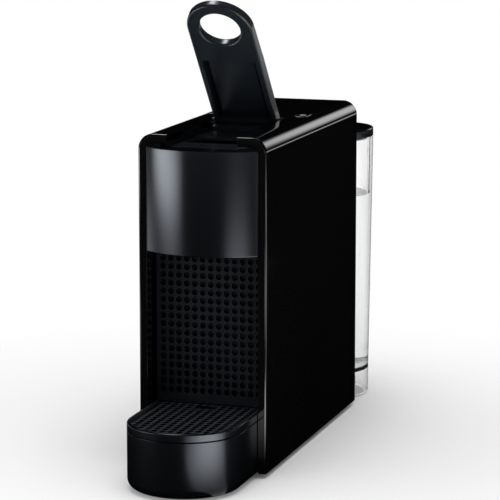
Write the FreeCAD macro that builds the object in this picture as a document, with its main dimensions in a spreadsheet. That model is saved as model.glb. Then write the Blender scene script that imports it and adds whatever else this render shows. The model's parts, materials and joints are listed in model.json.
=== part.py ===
"""Pod coffee machine: a slim capsule brewer with a lift-up lever, drip tray and rear water tank.

Millimetres. +X is the right of the machine, +Y its back, +Z up. The origin is on the table under the
middle of the whole machine, so the tray's nose and the tank's back are equally far from it.
"""
import FreeCAD, Part
import Sketcher
import math
import os

Vector = FreeCAD.Vector
doc = FreeCAD.newDocument("pod_coffee_machine")

# Driving dimensions, each set by itself
DIMENSIONS = {
    # Clearances
    "press_gap": 0.02,
    "running_gap": 0.05,
    "snug_gap": 0.1,
    "seam_gap": 0.2,
    "loose_gap": 0.3,
    "moving_gap": 0.35,
    "overcut": 1,
    # Shell
    "body_width": 79,
    "body_depth": 200,
    "body_top": 203,
    "body_bottom": 3,
    "wall": 2.5,
    "edge_radius": 9,
    "rim_width": 5,
    "rim_depth": 8,
    "rim_fillet": 1.2,
    "clip_length": 10,
    "clip_reach": 4,
    "clip_thickness": 2,
    "clip_spacing": 40,
    "clip_inset": 20,
    # Back
    "screw_low": 24,
    "screw_drop": 23,
    "screw_inset": 2.5,
    "screw_radius": 1.45,
    "screw_length": 10,
    "screw_head": 2.9,
    "screw_head_height": 1.6,
    "screw_socket": 1.3,
    "screw_socket_depth": 0.8,
    "boss_half": 5,
    "boss_length": 11.4,
    "vent_half": 17,
    "vent_height": 2.5,
    "vent_pitch": 6,
    "vent_rows": 5,
    "vent_drop": 53,
    "gland_side": 24,
    "gland_height": 60,
    "gland_flange": 8,
    "gland_flange_thickness": 2,
    "gland_sleeve": 5,
    "gland_nut": 7.5,
    "gland_nut_thickness": 3,
    "gland_bore": 3.2,
    "gland_tail": 0.5,
    # Underside
    "base_thickness": 3,
    "base_setback": 2,
    "rail_width": 2,
    "rail_inset": 3.5,
    "foot_radius": 7,
    "foot_tip": 6,
    "foot_inset": 10,
    "foot_setback": 14,
    # Lever channel
    "channel_gap": 1.4,
    "channel_depth": 7.5,
    "channel_lip": 1.5,
    "channel_end": 6,
    "floor_thickness": 2,
    "slot_setback": 24.5,
    "slot_length": 27.5,
    "slot_room": 0.5,
    "slot_edge": 1.5,
    "slot_corner": 2,
    "end_wall_setback": 8.3,
    "end_wall_height": 9.5,
    "end_wall_thickness": 2,
    # Front
    "panel_drop": 5.2,
    "panel_height": 64.8,
    "panel_bulge": 12,
    "panel_round": 3,
    "panel_corner": 4,
    "panel_depth": 5,
    "panel_lip": 0.8,
    "recess_depth": 16,
    "outlet_rise": 1,
    "outlet_thickness": 2,
    "spout_forward": 3,
    "spout_radius": 5,
    "spout_bore": 3.5,
    "chute_half": 8,
    "chute_wall": 2,
    "chute_height": 4,
    "chute_floor": 1.5,
    "chute_reach": 20,
    # Drip tray and grid
    "tray_reach": 65,
    "tray_bottom": 0.8,
    "tray_rim": 34.9,
    "tray_wall": 2.2,
    "tray_floor": 2.6,
    "tray_round": 6,
    "grid_bottom": 35.5,
    "grid_top": 40,
    "grid_rim": 1.8,
    "grid_dish": 0.6,
    "grid_plate": 2,
    "grid_edge": 2.5,
    "grid_edge_round": 0.9,
    "grid_ring": 1.7,
    "grid_ring_depth": 3,
    "grid_hole": 3.3,
    "grid_margin": 3.2,
    "grid_first": 7,
    "finger_half": 6.5,
    "finger_length": 4.5,
    "finger_setback": 7,
    "hole_pitch": 5,
    # Used-capsule container and the dimpled wall
    "cup_wall_gap": 0.5,
    "cup_wall_thickness": 3,
    "dimple_width": 3.7,
    "dimple_depth": 2.2,
    "dimple_margin": 2,
    "dimple_rise": 7,
    "bin_depth": 66,
    "bin_bottom": 8,
    "bin_drop": 21,
    "bin_inset": 1,
    "bin_wall": 2,
    "peg_radius": 3,
    "peg_length": 4,
    "peg_side": 20,
    "peg_height": 22,
    # Lever
    "lever_angle": 50,
    "lever_width": 40.2,
    "lever_reach": 86,
    "lever_thickness": 7,
    "lever_tip": 4.5,
    "lever_taper_start": 55,
    "lever_heel": 3.5,
    "lever_heel_round": 3,
    "lever_hole": 25.2,
    "lever_lip_round": 1.6,
    "lever_edge_round": 1.4,
    "lever_recess": 5.2,
    "lever_recess_start": 7,
    "lever_recess_end": 60,
    "lever_recess_margin": 3.5,
    "lever_recess_corner": 2,
    "lever_cover": 1.6,
    "lever_cover_gap": 2.2,
    "pivot_setback": 88.7,
    "pivot_drop": 7.2,
    "shaft_radius": 2.5,
    "hub_wall": 1.5,
    # Chassis and cams
    "plate_thickness": 2.2,
    "chassis_depth": 158,
    "leg_width": 8,
    "leg_setback": 4,
    "ear_half": 5.5,
    "spacer_radius": 3,
    "spacer_drop": 6,
    "spacer_below": 36,
    "cam_radius": 48,
    "cam_margin": 9,
    "cam_gap": 0.4,
    # Brewing unit
    "brew_drop": 45,
    "head_setback": 9,
    "head_thickness": 15,
    "head_above": 24,
    "head_below": 18,
    "head_corner": 3,
    "plate_seat": 1.8,
    "extraction_radius": 16.8,
    "extraction_thickness": 1.6,
    "stud_pitch": 4.5,
    "stud_half": 1,
    "drain_radius": 3,
    "cage_setback": 54,
    "cage_radius": 19,
    "cage_gap": 2,
    "cage_bore": 15.8,
    "cage_length": 26,
    "cage_depth": 22,
    "cage_travel": 24,
    "cage_seal_thickness": 1.5,
    "guide_gap": 0.5,
    "guide_half": 2,
    "guide_setback": 6,
    "yoke_half": 14,
    "yoke_height": 10,
    "yoke_length": 24,
    "pin_setback": 40,
    "pin_radius": 3,
    "needle_circle": 8,
    "needle_length": 6,
    "needle_radius": 1.3,
    "needle_point": 0.2,
    "feed_radius": 1.5,
    "feed_tube": 3,
    "feed_tube_length": 58,
    "feed_tube_seat": 4,
    # Buttons
    "button_inset": 6.8,
    "button_setback": 24.3,
    "button_width": 7.8,
    "button_length": 15.8,
    "button_corner": 2,
    "button_proud": 0.2,
    "button_height": 4.2,
    "button_round": 0.5,
    "button_flange": 1,
    "button_flange_drop": 3.8,
    "button_flange_thickness": 1.7,
    "stem_radius": 2,
    "stem_drop": 8.7,
    "board_drop": 15,
    "board_thickness": 1.6,
    "board_reach": 5.7,
    "board_front": 4.5,
    "board_back": 8,
    "switch_half": 3,
    "switch_height": 2.5,
    "plunger_radius": 1.7,
    "plunger_height": 1,
    # Tank and its dock
    "tank_reach": 65,
    "tank_gap": 4.5,
    "tank_width": 80,
    "tank_taper": 2,
    "tank_round": 28,
    "tank_wall": 2.2,
    "tank_bottom": 1.2,
    "tank_rim": 175.5,
    "tank_floor": 17,
    "tank_floor_thickness": 3,
    "tank_notch_top": 15.5,
    "lid_top": 181,
    "lid_round": 1.2,
    "lid_rim": 3,
    "lid_dish": 2.5,
    "lid_skirt": 2,
    "lid_skirt_depth": 4,
    "dock_half": 27,
    "dock_reach": 50,
    "dock_tongue": 7,
    "dock_shelf": 3,
    "dock_thickness": 5,
    "dock_rib_side": 20,
    "dock_rib_width": 4,
    "dock_rib_start": 14,
    "dock_rib_end": 2,
    "spigot_radius": 7,
    "spigot_height": 4.8,
    "well_radius": 3.5,
    "well_floor": 1,
    "dock_pin_radius": 1.2,
    "dock_pin_height": 6.3,
    "inlet_radius": 2.1,
    "inlet_bore": 1.2,
    "inlet_rise": 2.5,
    "inlet_reach": 8,
    "inlet_room": 1.5,
    "dock_seal_radius": 6.8,
    "dock_seal_bore": 4.6,
    "dock_seal_height": 1.7,
    # Tank valve
    "valve_setback": 28,
    "valve_nose": 6.5,
    "valve_nose_drop": 2.2,
    "valve_port": 4,
    "valve_guide": 3,
    "valve_guide_web": 2,
    "valve_guide_inset": 1,
    "valve_stem": 1.5,
    "valve_stem_drop": 2.4,
    "valve_opening": 2,
    "valve_head": 6,
    "valve_head_thickness": 1.5,
    "valve_seal": 5.8,
    "valve_seal_thickness": 1.2,
    "valve_cage_height": 13,
    "valve_cage_radius": 8.2,
    "valve_cage_ring": 1.6,
    "valve_cage_hole": 2.2,
    "valve_post_circle": 7.2,
    "valve_post": 0.9,
    "spring_radius": 3.6,
    "spring_wire": 0.8,
    "spring_turns": 3,
    # Pump and flow meter
    "pump_side": 8,
    "pump_height": 48,
    "pump_setback": 104,
    "pump_length": 72,
    "pump_radius": 11,
    "pump_neck": 7.5,
    "pump_neck_length": 12,
    "port_radius": 2.5,
    "port_length": 6,
    "coil_setback": 18,
    "coil_length": 34,
    "coil_half": 19,
    "coil_corner": 3,
    "bracket_thickness": 3,
    "bracket_arm": 2,
    "bracket_rise": 21,
    "mount_radius": 6,
    "mount_side": 12,
    "meter_side": 21.5,
    "meter_inset": 20,
    "meter_radius": 12,
    "meter_height": 14,
    "meter_port": 8,
    "meter_port_height": 4,
    "meter_inlet_length": 5,
    "hose_radius": 2.4,
    "hose_bend": 5,
    "riser_setback": 8,
    # Heater and electrics
    "heater_setback": 34,
    "heater_length": 29,
    "heater_above": 18,
    "heater_below": 18,
    "heater_corner": 4,
    "terminal_side": 14,
    "terminal_radius": 2.5,
    "heater_boss": 8,
    "heater_boss_length": 7,
    "heater_bore_end": 2,
    "nipple_length": 4,
    "nipple_setback": 12,
    "hose_drop": 22,
    "cutout_radius": 8,
    "cutout_height": 4,
    "cutout_setback": 16,
    "tab_side": 4,
    "tab_half": 3,
    "tab_height": 6,
    "tab_thickness": 0.8,
    "standoff_length": 2.2,
    "standoff_radius": 2,
    "standoff_inset": 4,
    "standoff_drop": 3,
    "control_setback": 16,
    "control_length": 46,
    "control_height": 72,
    "control_drop": 16,
    "relay_depth": 8,
    "relay_length": 14,
    "relay_height": 18,
    "relay_inset": 6,
    "relay_rise": 10,
    "capacitor_radius": 6,
    "capacitor_length": 9,
    "capacitor_inset": 34,
    "capacitor_rise": 20,
    "chip_depth": 2,
    "chip_length": 14,
    "chip_height": 12,
    "chip_inset": 16,
    "chip_rise": 42,
}
sheet = doc.addObject("Spreadsheet::Sheet", "size")
for row, (alias, value) in enumerate(DIMENSIONS.items(), start=1):
    sheet.set(f"A{row}", alias)
    sheet.set(f"B{row}", str(value))
    sheet.setAlias(f"B{row}", alias)
doc.recompute()

# Levels and planes that several pieces share
SINE_45 = "0.70710678"
PLATE_INNER = "(size.cage_radius + size.cage_gap)"
PLATE_OUTER = f"({PLATE_INNER} + size.plate_thickness)"
BOARD_X = f"({PLATE_OUTER} + size.standoff_length)"
HALF_NEEDED = f"({BOARD_X} + size.board_thickness + size.capacitor_length + size.seam_gap + size.wall)"
HALF = f"(max(size.body_width / 2; {HALF_NEEDED}))"
INNER = f"({HALF} - size.wall)"
FRONT = "(-size.body_depth / 2)"
BACK = "(size.body_depth / 2)"
RIM_INNER = f"({HALF} - size.rim_width)"
BASE_TOP = "(size.body_bottom + size.base_thickness)"
SCREW_X = f"({INNER} - size.screw_inset)"
SCREW_HIGH = "(size.body_top - size.screw_drop)"
CUP_WALL = f"({FRONT} + size.recess_depth)"
TRAY_HALF = f"({RIM_INNER} - size.loose_gap)"
NOSE = f"({FRONT} - size.tray_reach)"
PANEL_TOP = "(size.body_top - size.panel_drop)"
PANEL_BOTTOM = f"({PANEL_TOP} - size.panel_height)"
PANEL_HALF = f"({RIM_INNER} - size.seam_gap)"
OUTLET_TOP = f"({PANEL_BOTTOM} + size.outlet_rise + size.outlet_thickness)"
CUP_WALL_TOP = f"({PANEL_BOTTOM} - size.cup_wall_gap)"
LEVER_HALF = "(size.lever_width / 2)"
SLOT_HALF = "(size.cage_radius + size.slot_room)"
CHANNEL_NEEDED = f"({SLOT_HALF} + size.slot_edge + size.seam_gap)"
CHANNEL = f"(max({LEVER_HALF} + size.channel_gap; {CHANNEL_NEEDED}))"
CHANNEL_FLOOR = "(size.body_top - size.channel_depth)"
PIVOT_Y = f"({FRONT} + size.pivot_setback)"
PIVOT_Z = "(size.body_top - size.pivot_drop)"
SLOT_FRONT = f"({FRONT} + size.slot_setback)"
BIN_BACK = f"({CUP_WALL} + size.bin_depth)"
BIN_TOP = f"({PANEL_BOTTOM} - size.bin_drop)"
BIN_HALF = f"({RIM_INNER} - size.bin_inset)"
SHAFT_END = f"({PLATE_OUTER} + size.cam_gap + size.plate_thickness + size.loose_gap)"
CHASSIS_FRONT = f"({FRONT} + size.rim_depth)"
CHASSIS_BACK = f"({CHASSIS_FRONT} + size.chassis_depth)"
FRONT_LEG = f"({BIN_BACK} + size.leg_setback)"
BOARD_Z = "(size.body_top - size.board_drop)"
SWITCH_Z = f"({BOARD_Z} + size.board_thickness)"
BUTTON_X = f"({CHANNEL} + size.button_inset)"
BUTTON_Y = f"({PIVOT_Y} + size.button_setback)"
BREW = "(size.body_top - size.brew_drop)"
HEAD_FRONT = f"({FRONT} + size.head_setback)"
HEAD_BACK = f"({HEAD_FRONT} + size.head_thickness)"
CAGE_FRONT = f"({FRONT} + size.cage_setback)"
PIN_Y = f"({CAGE_FRONT} + size.pin_setback)"
HEATER_FRONT = f"({PIN_Y} + size.heater_setback)"
HEATER_BACK = f"({HEATER_FRONT} + size.heater_length)"
HEATER_BOTTOM = f"({BREW} - size.heater_below)"
HEATER_TOP = f"({BREW} + size.heater_above)"
NIPPLE_Y = f"({HEATER_FRONT} + size.nipple_setback)"
DOCK_TOP = "(size.body_bottom + size.dock_thickness)"
VALVE_Y = f"({BACK} + size.valve_setback)"
INLET_Z = f"({DOCK_TOP} + size.inlet_rise)"
INLET_FRONT = f"({BACK} - size.inlet_reach)"
FLOOR_TOP = "(size.tank_floor + size.tank_floor_thickness)"
VALVE_CAGE_TOP = f"({FLOOR_TOP} + size.valve_cage_height)"
VALVE_HEAD = f"({FLOOR_TOP} + size.valve_opening + size.valve_seal_thickness)"
PUMP_FRONT = f"({FRONT} + size.pump_setback)"
PUMP_BACK = f"({PUMP_FRONT} + size.pump_length)"
COIL_FRONT = f"({PUMP_FRONT} + size.coil_setback)"
COIL_BACK = f"({COIL_FRONT} + size.coil_length)"
COIL_BOTTOM = "(size.pump_height - size.coil_half)"
METER_Y = f"({BACK} - size.meter_inset)"
METER_TOP = f"({BASE_TOP} + size.meter_height)"
CONTROL_TOP = f"({BREW} - size.control_drop)"
CONTROL_BOTTOM = f"({CONTROL_TOP} - size.control_height)"
CONTROL_FRONT = f"({PIN_Y} + size.control_setback)"
nodes = {}


def number(text):
    """The value of an expression."""
    return float(sheet.evalExpression(text.replace("size.", "")))


def node(label, piece):
    """Name a finished sub-part and keep it for export."""
    piece.Label = label
    nodes[label] = piece
    return piece


def hidden_name(stem):
    return f"{stem}_{len(doc.Objects)}"


def mirrored(side, low, high):
    """A span on the right of the machine, or the same span on its left."""
    return (low, high) if side == "1" else (f"-({high})", f"-({low})")


# Part primitives bound to the sheet

AXIS_ROTATION = {
    "x": FreeCAD.Rotation(Vector(0, 1, 0), 90),
    "y": FreeCAD.Rotation(Vector(1, 0, 0), -90),
    "z": FreeCAD.Rotation(),
}


def place_along(solid, axis, start, across):
    """Turn a piece on to an axis, with its foot at start; across holds the other two coordinates in order."""
    solid.Placement = FreeCAD.Placement(Vector(), AXIS_ROTATION[axis])
    places = list(across)
    places.insert("xyz".index(axis), start)
    for letter, place in zip("xyz", places):
        solid.setExpression(f"Placement.Base.{letter}", place)


def box(x0, x1, y0, y1, z0, z1):
    solid = doc.addObject("Part::Box", hidden_name("box"))
    for side, low, high in (("Length", x0, x1), ("Width", y0, y1), ("Height", z0, z1)):
        solid.setExpression(side, f"({high}) - ({low})")
    for axis, low in zip("xyz", (x0, y0, z0)):
        solid.setExpression(f"Placement.Base.{axis}", low)
    return solid


def rod(axis, start, end, across, radius):
    solid = doc.addObject("Part::Cylinder", hidden_name("rod"))
    solid.setExpression("Height", f"({end}) - ({start})")
    solid.setExpression("Radius", radius)
    place_along(solid, axis, start, across)
    return solid


def fuse(*pieces):
    joined = doc.addObject("Part::MultiFuse", hidden_name("fuse"))
    joined.Shapes = list(pieces)
    return joined


def group(*pieces):
    together = doc.addObject("Part::Compound", hidden_name("group"))
    together.Links = list(pieces)
    return together


def cut(base, *tools):
    result = doc.addObject("Part::Cut", hidden_name("cut"))
    result.Base = base
    result.Tool = tools[0] if len(tools) == 1 else fuse(*tools)
    return result


def shaped(shape):
    """A piece whose form no primitive has."""
    piece = doc.addObject("Part::Feature", hidden_name("shape"))
    piece.Shape = shape
    return piece


def hose(points, bend):
    """A hose along straight runs joined by tangent arcs, swept from a disc."""
    corners = [Vector(*(number(text) for text in point)) for point in points]
    edges = []
    start = corners[0]
    for before, corner, after in zip(corners, corners[1:], corners[2:]):
        to_before = (before - corner).normalize()
        to_after = (after - corner).normalize()
        half_angle = to_before.getAngle(to_after) / 2
        reach = bend / math.tan(half_angle)
        first = corner + to_before * reach
        last = corner + to_after * reach
        inward = (to_before + to_after).normalize()
        middle = corner + inward * (bend / math.sin(half_angle) - bend)
        edges.append(Part.LineSegment(start, first).toShape())
        edges.append(Part.Arc(first, middle, last).toShape())
        start = last
    edges.append(Part.LineSegment(start, corners[-1]).toShape())
    spine = Part.Wire(edges)
    rim = Part.Circle(corners[0], corners[1] - corners[0], number("size.hose_radius"))
    return shaped(spine.makePipeShell([Part.Wire([rim.toShape()])], True, False))


# Part Design bodies bound to the sheet

def new_body():
    return doc.addObject("PartDesign::Body", hidden_name("body"))


def add_loop(sketch, path):
    """Draw a closed loop; a vertex with four values starts an arc through the last two of them."""
    first_index = sketch.GeometryCount
    values = [[float(sketch.evalExpression(text)) for text in vertex] for vertex in path]
    ends = []
    arcs = []
    for here, there in zip(values, values[1:] + values[:1]):
        start = Vector(here[0], here[1])
        end = Vector(there[0], there[1])
        if len(here) == 2:
            sketch.addGeometry(Part.LineSegment(start, end), False)
            ends.append((1, 2))
            continue
        middle = Vector(here[2], here[3])
        turns_left = (middle - start).cross(end - middle).z > 0
        arcs.append(len(ends))
        arc = Part.Arc(start, middle, end) if turns_left else Part.Arc(end, middle, start)
        sketch.addGeometry(arc, False)
        ends.append((1, 2) if turns_left else (2, 1))
    for place in range(len(path)):
        after = (place + 1) % len(path)
        sketch.addConstraint(Sketcher.Constraint(
            "Coincident", first_index + place, ends[place][1], first_index + after, ends[after][0]))
    for place, vertex in enumerate(path):
        bind_point(sketch, first_index + place, ends[place][0], vertex[0], vertex[1])
    for place in arcs:
        vertex = path[place]
        point = sketch.addGeometry(Part.Point(Vector(values[place][2], values[place][3])), True)
        bind_point(sketch, point, 1, vertex[2], vertex[3])
        sketch.addConstraint(Sketcher.Constraint("PointOnObject", point, 1, first_index + place))


def bind_point(sketch, index, position, across, up):
    for kind, text in (("DistanceX", across), ("DistanceY", up)):
        value = float(sketch.evalExpression(text))
        constraint = sketch.addConstraint(Sketcher.Constraint(kind, -1, 1, index, position, value))
        sketch.setExpression(f"Constraints[{constraint}]", text)


def add_circle(sketch, across, up, radius):
    centre = Vector(float(sketch.evalExpression(across)), float(sketch.evalExpression(up)))
    size = float(sketch.evalExpression(radius))
    circle = sketch.addGeometry(Part.Circle(centre, Vector(0, 0, 1), size), False)
    bind_point(sketch, circle, 3, across, up)
    constraint = sketch.addConstraint(Sketcher.Constraint("Radius", circle, size))
    sketch.setExpression(f"Constraints[{constraint}]", radius)


def new_sketch(body, plane, offset, loops, circles=()):
    sketch = body.newObject("Sketcher::SketchObject", hidden_name("sketch"))
    support = [feature for feature in body.Origin.OriginFeatures if feature.Role == plane + "_Plane"][0]
    sketch.AttachmentSupport = [(support, "")]
    sketch.MapMode = "FlatFace"
    sketch.setExpression("AttachmentOffset.Base.z", offset)
    for loop in loops:
        add_loop(sketch, loop)
    for circle in circles:
        add_circle(sketch, *circle)
    return sketch


def prism(body, kind, plane, low, high, loops, circles=()):
    """Pad or pocket the loops between two heights along the plane's own axis (XZ runs along Y)."""
    starts_low = (kind == "Pad") == (plane != "XZ")
    start = low if starts_low else high
    offset = f"-({start})" if plane == "XZ" else start
    feature = body.newObject(f"PartDesign::{kind}", hidden_name(kind.lower()))
    feature.Profile = new_sketch(body, plane, offset, loops, circles)
    feature.setExpression("Length", f"({high}) - ({low})")
    doc.recompute()
    return feature


def turned(axis, start, across, profile):
    """A piece turned about an axis; its profile is in radius and distance along the axis from start."""
    body = new_body()
    sketch = new_sketch(body, "XZ", "0", [profile])
    feature = body.newObject("PartDesign::Revolution", hidden_name("turning"))
    feature.Profile = sketch
    feature.ReferenceAxis = (sketch, ["V_Axis"])
    feature.Angle = 360
    place_along(body, axis, start, across)
    return body


def ring(axis, start, across, bore, radius, height):
    return turned(axis, start, across, rectangle(bore, radius, "0", height))


def loft(body, kind, lower, lower_loop, upper, upper_loop):
    feature = body.newObject(f"PartDesign::{kind}Loft", hidden_name("loft"))
    feature.Profile = new_sketch(body, "XY", lower, [lower_loop])
    feature.Sections = [new_sketch(body, "XY", upper, [upper_loop])]
    feature.Ruled = True
    doc.recompute()
    return feature


def round_edges(body, radius, chosen):
    """Round the edges of the body's tip that the test picks."""
    tip = body.Tip
    names = [f"Edge{place}" for place, edge in enumerate(tip.Shape.Edges, start=1) if chosen(edge)]
    feature = body.newObject("PartDesign::Fillet", hidden_name("fillet"))
    feature.Base = (tip, names)
    feature.setExpression("Radius", radius)
    doc.recompute()
    return feature


CLOSE = 0.02


def all_points(edge, test):
    return all(test(point) for point in edge.discretize(5))


def near(value, text):
    return abs(value - number(text)) < CLOSE


def rectangle(x0, x1, y0, y1):
    return [(x0, y0), (x1, y0), (x1, y1), (x0, y1)]


def rounded_rectangle(x0, x1, y0, y1, radius):
    """Four straight sides and four corner arcs."""
    bite = f"(({radius}) * (1 - {SINE_45}))"
    return [
        (f"{x0} + {radius}", y0),
        (f"{x1} - {radius}", y0, f"{x1} - {bite}", f"{y0} + {bite}"),
        (x1, f"{y0} + {radius}"),
        (x1, f"{y1} - {radius}", f"{x1} - {bite}", f"{y1} - {bite}"),
        (f"{x1} - {radius}", y1),
        (f"{x0} + {radius}", y1, f"{x0} + {bite}", f"{y1} - {bite}"),
        (x0, f"{y1} - {radius}"),
        (x0, f"{y0} + {radius}", f"{x0} + {bite}", f"{y0} + {bite}"),
    ]


def tray_outline(inset, back):
    """The tray's plan: straight sides and a half-round nose."""
    half = f"({TRAY_HALF} - ({inset}))"
    nose = f"({NOSE} + ({inset}))"
    return [
        (half, back),
        (half, f"{nose} + {half}", "0", nose),
        (f"-{half}", f"{nose} + {half}"),
        (f"-{half}", back),
    ]


def tank_outline(inset, taper):
    """The tank's plan: an oval with large round corners and short flats in front and behind."""
    half = f"(size.tank_width / 2 - {taper} - ({inset}))"
    front = f"({BACK} + size.tank_gap + {taper} / 2 + ({inset}))"
    back = f"({BACK} + size.tank_reach - {taper} - ({inset}))"
    return rounded_rectangle(f"-{half}", half, front, back, f"(size.tank_round - ({inset}))")


def panel_outline(inset, back):
    """The front panel's plan: flat sides and a shallow bulge."""
    half = f"({PANEL_HALF} - ({inset}))"
    return [
        (f"-{half}", back),
        (f"-{half}", f"{FRONT} + ({inset})", "0", f"{FRONT} - size.panel_bulge + ({inset})"),
        (half, f"{FRONT} + ({inset})"),
        (half, back),
    ]


def octagon_hole(centre, along, width, depth):
    """An eight-sided hole across flats of the given width."""
    eighth = math.pi / 4
    reach = width / 2 / math.cos(eighth / 2)
    side = Vector(1, 0, 0)
    up = along.cross(side)
    corners = []
    for turn in range(9):
        angle = eighth * (turn + 0.5)
        corners.append(centre + side * (reach * math.cos(angle)) + up * (reach * math.sin(angle)))
    return Part.Face(Part.makePolygon(corners)).extrude(along * depth)


# Housing

def side_panel(label, side):
    """One half of the shell: side wall, rounded top edge, top strip, front rim and channel lip."""
    def across(text):
        return f"{side} * ({text})"

    radius = "size.edge_radius"
    shoulder = f"({HALF} - {radius})"
    level = f"(size.body_top - {radius})"
    strip_edge = f"({CHANNEL} + size.seam_gap)"

    def section(thickness):
        inner = f"(({radius} - {thickness}) * {SINE_45})"
        outer = f"({radius} * {SINE_45})"
        return [
            (across(f"{HALF} - {thickness}"), "size.body_bottom"),
            (across(HALF), "size.body_bottom"),
            (across(HALF), level, across(f"{shoulder} + {outer}"), f"{level} + {outer}"),
            (across(shoulder), "size.body_top"),
            (across(strip_edge), "size.body_top"),
            (across(strip_edge), f"size.body_top - {thickness}"),
            (across(shoulder), f"size.body_top - {thickness}",
             across(f"{shoulder} + {inner}"), f"{level} + {inner}"),
            (across(f"{HALF} - {thickness}"), level),
        ]

    body = new_body()
    prism(body, "Pad", "XZ", FRONT, BACK, [section("size.wall")])
    prism(body, "Pad", "XZ", FRONT, CHASSIS_FRONT, [section("size.rim_width")])
    lip = rectangle(across(strip_edge), across(f"{strip_edge} + size.channel_lip"),
                    CHANNEL_FLOOR, "size.body_top - size.wall / 2")
    prism(body, "Pad", "XZ", FRONT, f"{PIVOT_Y} - size.channel_end", [lip])
    round_edges(body, "size.rim_fillet", lambda edge: all_points(
        edge, lambda point: near(point.y, FRONT) and on_shell_outline(point)))
    hole_corner = "(size.button_corner + size.loose_gap)"
    button_hole = rounded_rectangle(*button_span(side, "size.loose_gap"), hole_corner)
    prism(body, "Pocket", "XY", "size.body_top - size.wall - size.overcut", "size.body_top + size.overcut",
          [button_hole])
    boss_end = f"({BACK} - size.wall - size.snug_gap)"
    boss_start = f"({boss_end} - size.boss_length)"
    bosses = []
    bores = []
    for height in ("size.screw_low", SCREW_HIGH):
        bosses.append(box(*mirrored(side, f"{INNER} - size.boss_half", f"{INNER} + size.wall / 2"),
                          boss_start, boss_end, f"{height} - size.boss_half", f"{height} + size.boss_half"))
        bores.append(rod("y", f"{boss_start} - size.overcut", BACK, (across(SCREW_X), height),
                         "size.screw_radius + size.running_gap"))
    return node(label, cut(fuse(body, *bosses), *bores))


def on_shell_outline(point):
    """True on the shell's outer outline, away from the channel."""
    side_wall = near(abs(point.x), HALF)
    top_strip = near(point.z, "size.body_top") and abs(point.x) > number(f"{CHANNEL} + size.seam_gap") - CLOSE
    corner_x = abs(point.x) - number(f"{HALF} - size.edge_radius")
    corner_z = point.z - number("size.body_top - size.edge_radius")
    round_corner = near(math.hypot(corner_x, corner_z), "size.edge_radius")
    return side_wall or top_strip or (round_corner and corner_x > 0 and corner_z > 0)


def top_cover():
    """The cover behind the lever, with the channel's end wall and clips under the side panels' strips."""
    front = f"({PIVOT_Y} + size.end_wall_setback)"
    under = "(size.body_top - size.wall)"
    clip_half = f"({CHANNEL} + size.clip_reach)"
    body = new_body()
    prism(body, "Pad", "XY", under, "size.body_top", [rectangle(f"-{CHANNEL}", CHANNEL, front, BACK)])
    end_wall = rectangle(f"-{CHANNEL}", CHANNEL, front, f"{front} + size.end_wall_thickness")
    prism(body, "Pad", "XY", f"{under} - size.end_wall_height", under, [end_wall])
    clips = []
    for place in (0, 1):
        start = f"({BACK} - size.clip_inset - {place} * size.clip_spacing)"
        clips.append(rectangle(f"-{clip_half}", clip_half, start, f"{start} + size.clip_length"))
    prism(body, "Pad", "XY", f"{under} - size.clip_thickness", under, clips)
    return node("top_cover", body)


def rear_cover():
    """The back plate between the side panels, with vents and holes for screws, cord and water inlet."""
    radius = "(size.edge_radius - size.wall - size.snug_gap)"
    half = f"({INNER} - size.snug_gap)"
    top = "(size.body_top - size.wall - size.snug_gap)"
    bottom = f"({DOCK_TOP} + size.seam_gap)"
    bite = f"({radius} * (1 - {SINE_45}))"
    outline = [
        (f"-{half}", bottom),
        (half, bottom),
        (half, f"{top} - {radius}", f"{half} - {bite}", f"{top} - {bite}"),
        (f"{half} - {radius}", top),
        (f"-{half} + {radius}", top, f"-{half} + {bite}", f"{top} - {bite}"),
        (f"-{half}", f"{top} - {radius}"),
    ]
    body = new_body()
    prism(body, "Pad", "XZ", f"{BACK} - size.wall", BACK, [outline])
    holes = [
        ("size.gland_side", "size.gland_height", "size.gland_sleeve + size.running_gap"),
        ("0", INLET_Z, "size.inlet_radius + size.inlet_room"),
    ]
    for side in ("-1", "1"):
        for height in ("size.screw_low", SCREW_HIGH):
            holes.append((f"{side} * {SCREW_X}", height, "size.screw_radius + size.snug_gap"))
    vents = []
    for row in range(int(number("size.vent_rows"))):
        low = f"(size.body_top - size.vent_drop + {row} * size.vent_pitch)"
        vents.append(rectangle("-size.vent_half", "size.vent_half", low, f"{low} + size.vent_height"))
    prism(body, "Pocket", "XZ", f"{BACK} - size.wall - size.overcut", f"{BACK} + size.overcut", vents, holes)
    return node("rear_cover", body)


def rear_screws():
    """Four screws through the rear cover into the side panels' bosses."""
    profile = [
        ("0", "-size.screw_length"),
        ("size.screw_radius", "-size.screw_length"),
        ("size.screw_radius", "0"),
        ("size.screw_head", "0"),
        ("size.screw_head", "size.screw_head_height"),
        ("size.screw_socket", "size.screw_head_height"),
        ("size.screw_socket", "size.screw_head_height - size.screw_socket_depth"),
        ("0", "size.screw_head_height - size.screw_socket_depth"),
    ]
    screws = []
    for side in ("-1", "1"):
        for height in ("size.screw_low", SCREW_HIGH):
            screws.append(turned("y", BACK, (f"{side} * {SCREW_X}", height), profile))
    return node("rear_screws", group(*screws))


def base_plate():
    """The floor of the body, with two rails that the capsule container slides on."""
    half = f"({INNER} - size.snug_gap)"
    front = f"({CUP_WALL} + size.base_setback)"
    body = new_body()
    plate = rectangle(f"-{half}", half, front, f"{BACK} - size.wall")
    prism(body, "Pad", "XY", "size.body_bottom", BASE_TOP, [plate])
    rail_outer = f"({BIN_HALF} - size.rail_inset)"
    rails = []
    for side in ("-1", "1"):
        span = mirrored(side, f"{rail_outer} - size.rail_width", rail_outer)
        rails.append(rectangle(*span, f"{front} + size.base_setback", BIN_BACK))
    prism(body, "Pad", "XY", BASE_TOP, "size.bin_bottom - size.loose_gap", rails)
    return node("base_plate", body)


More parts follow.
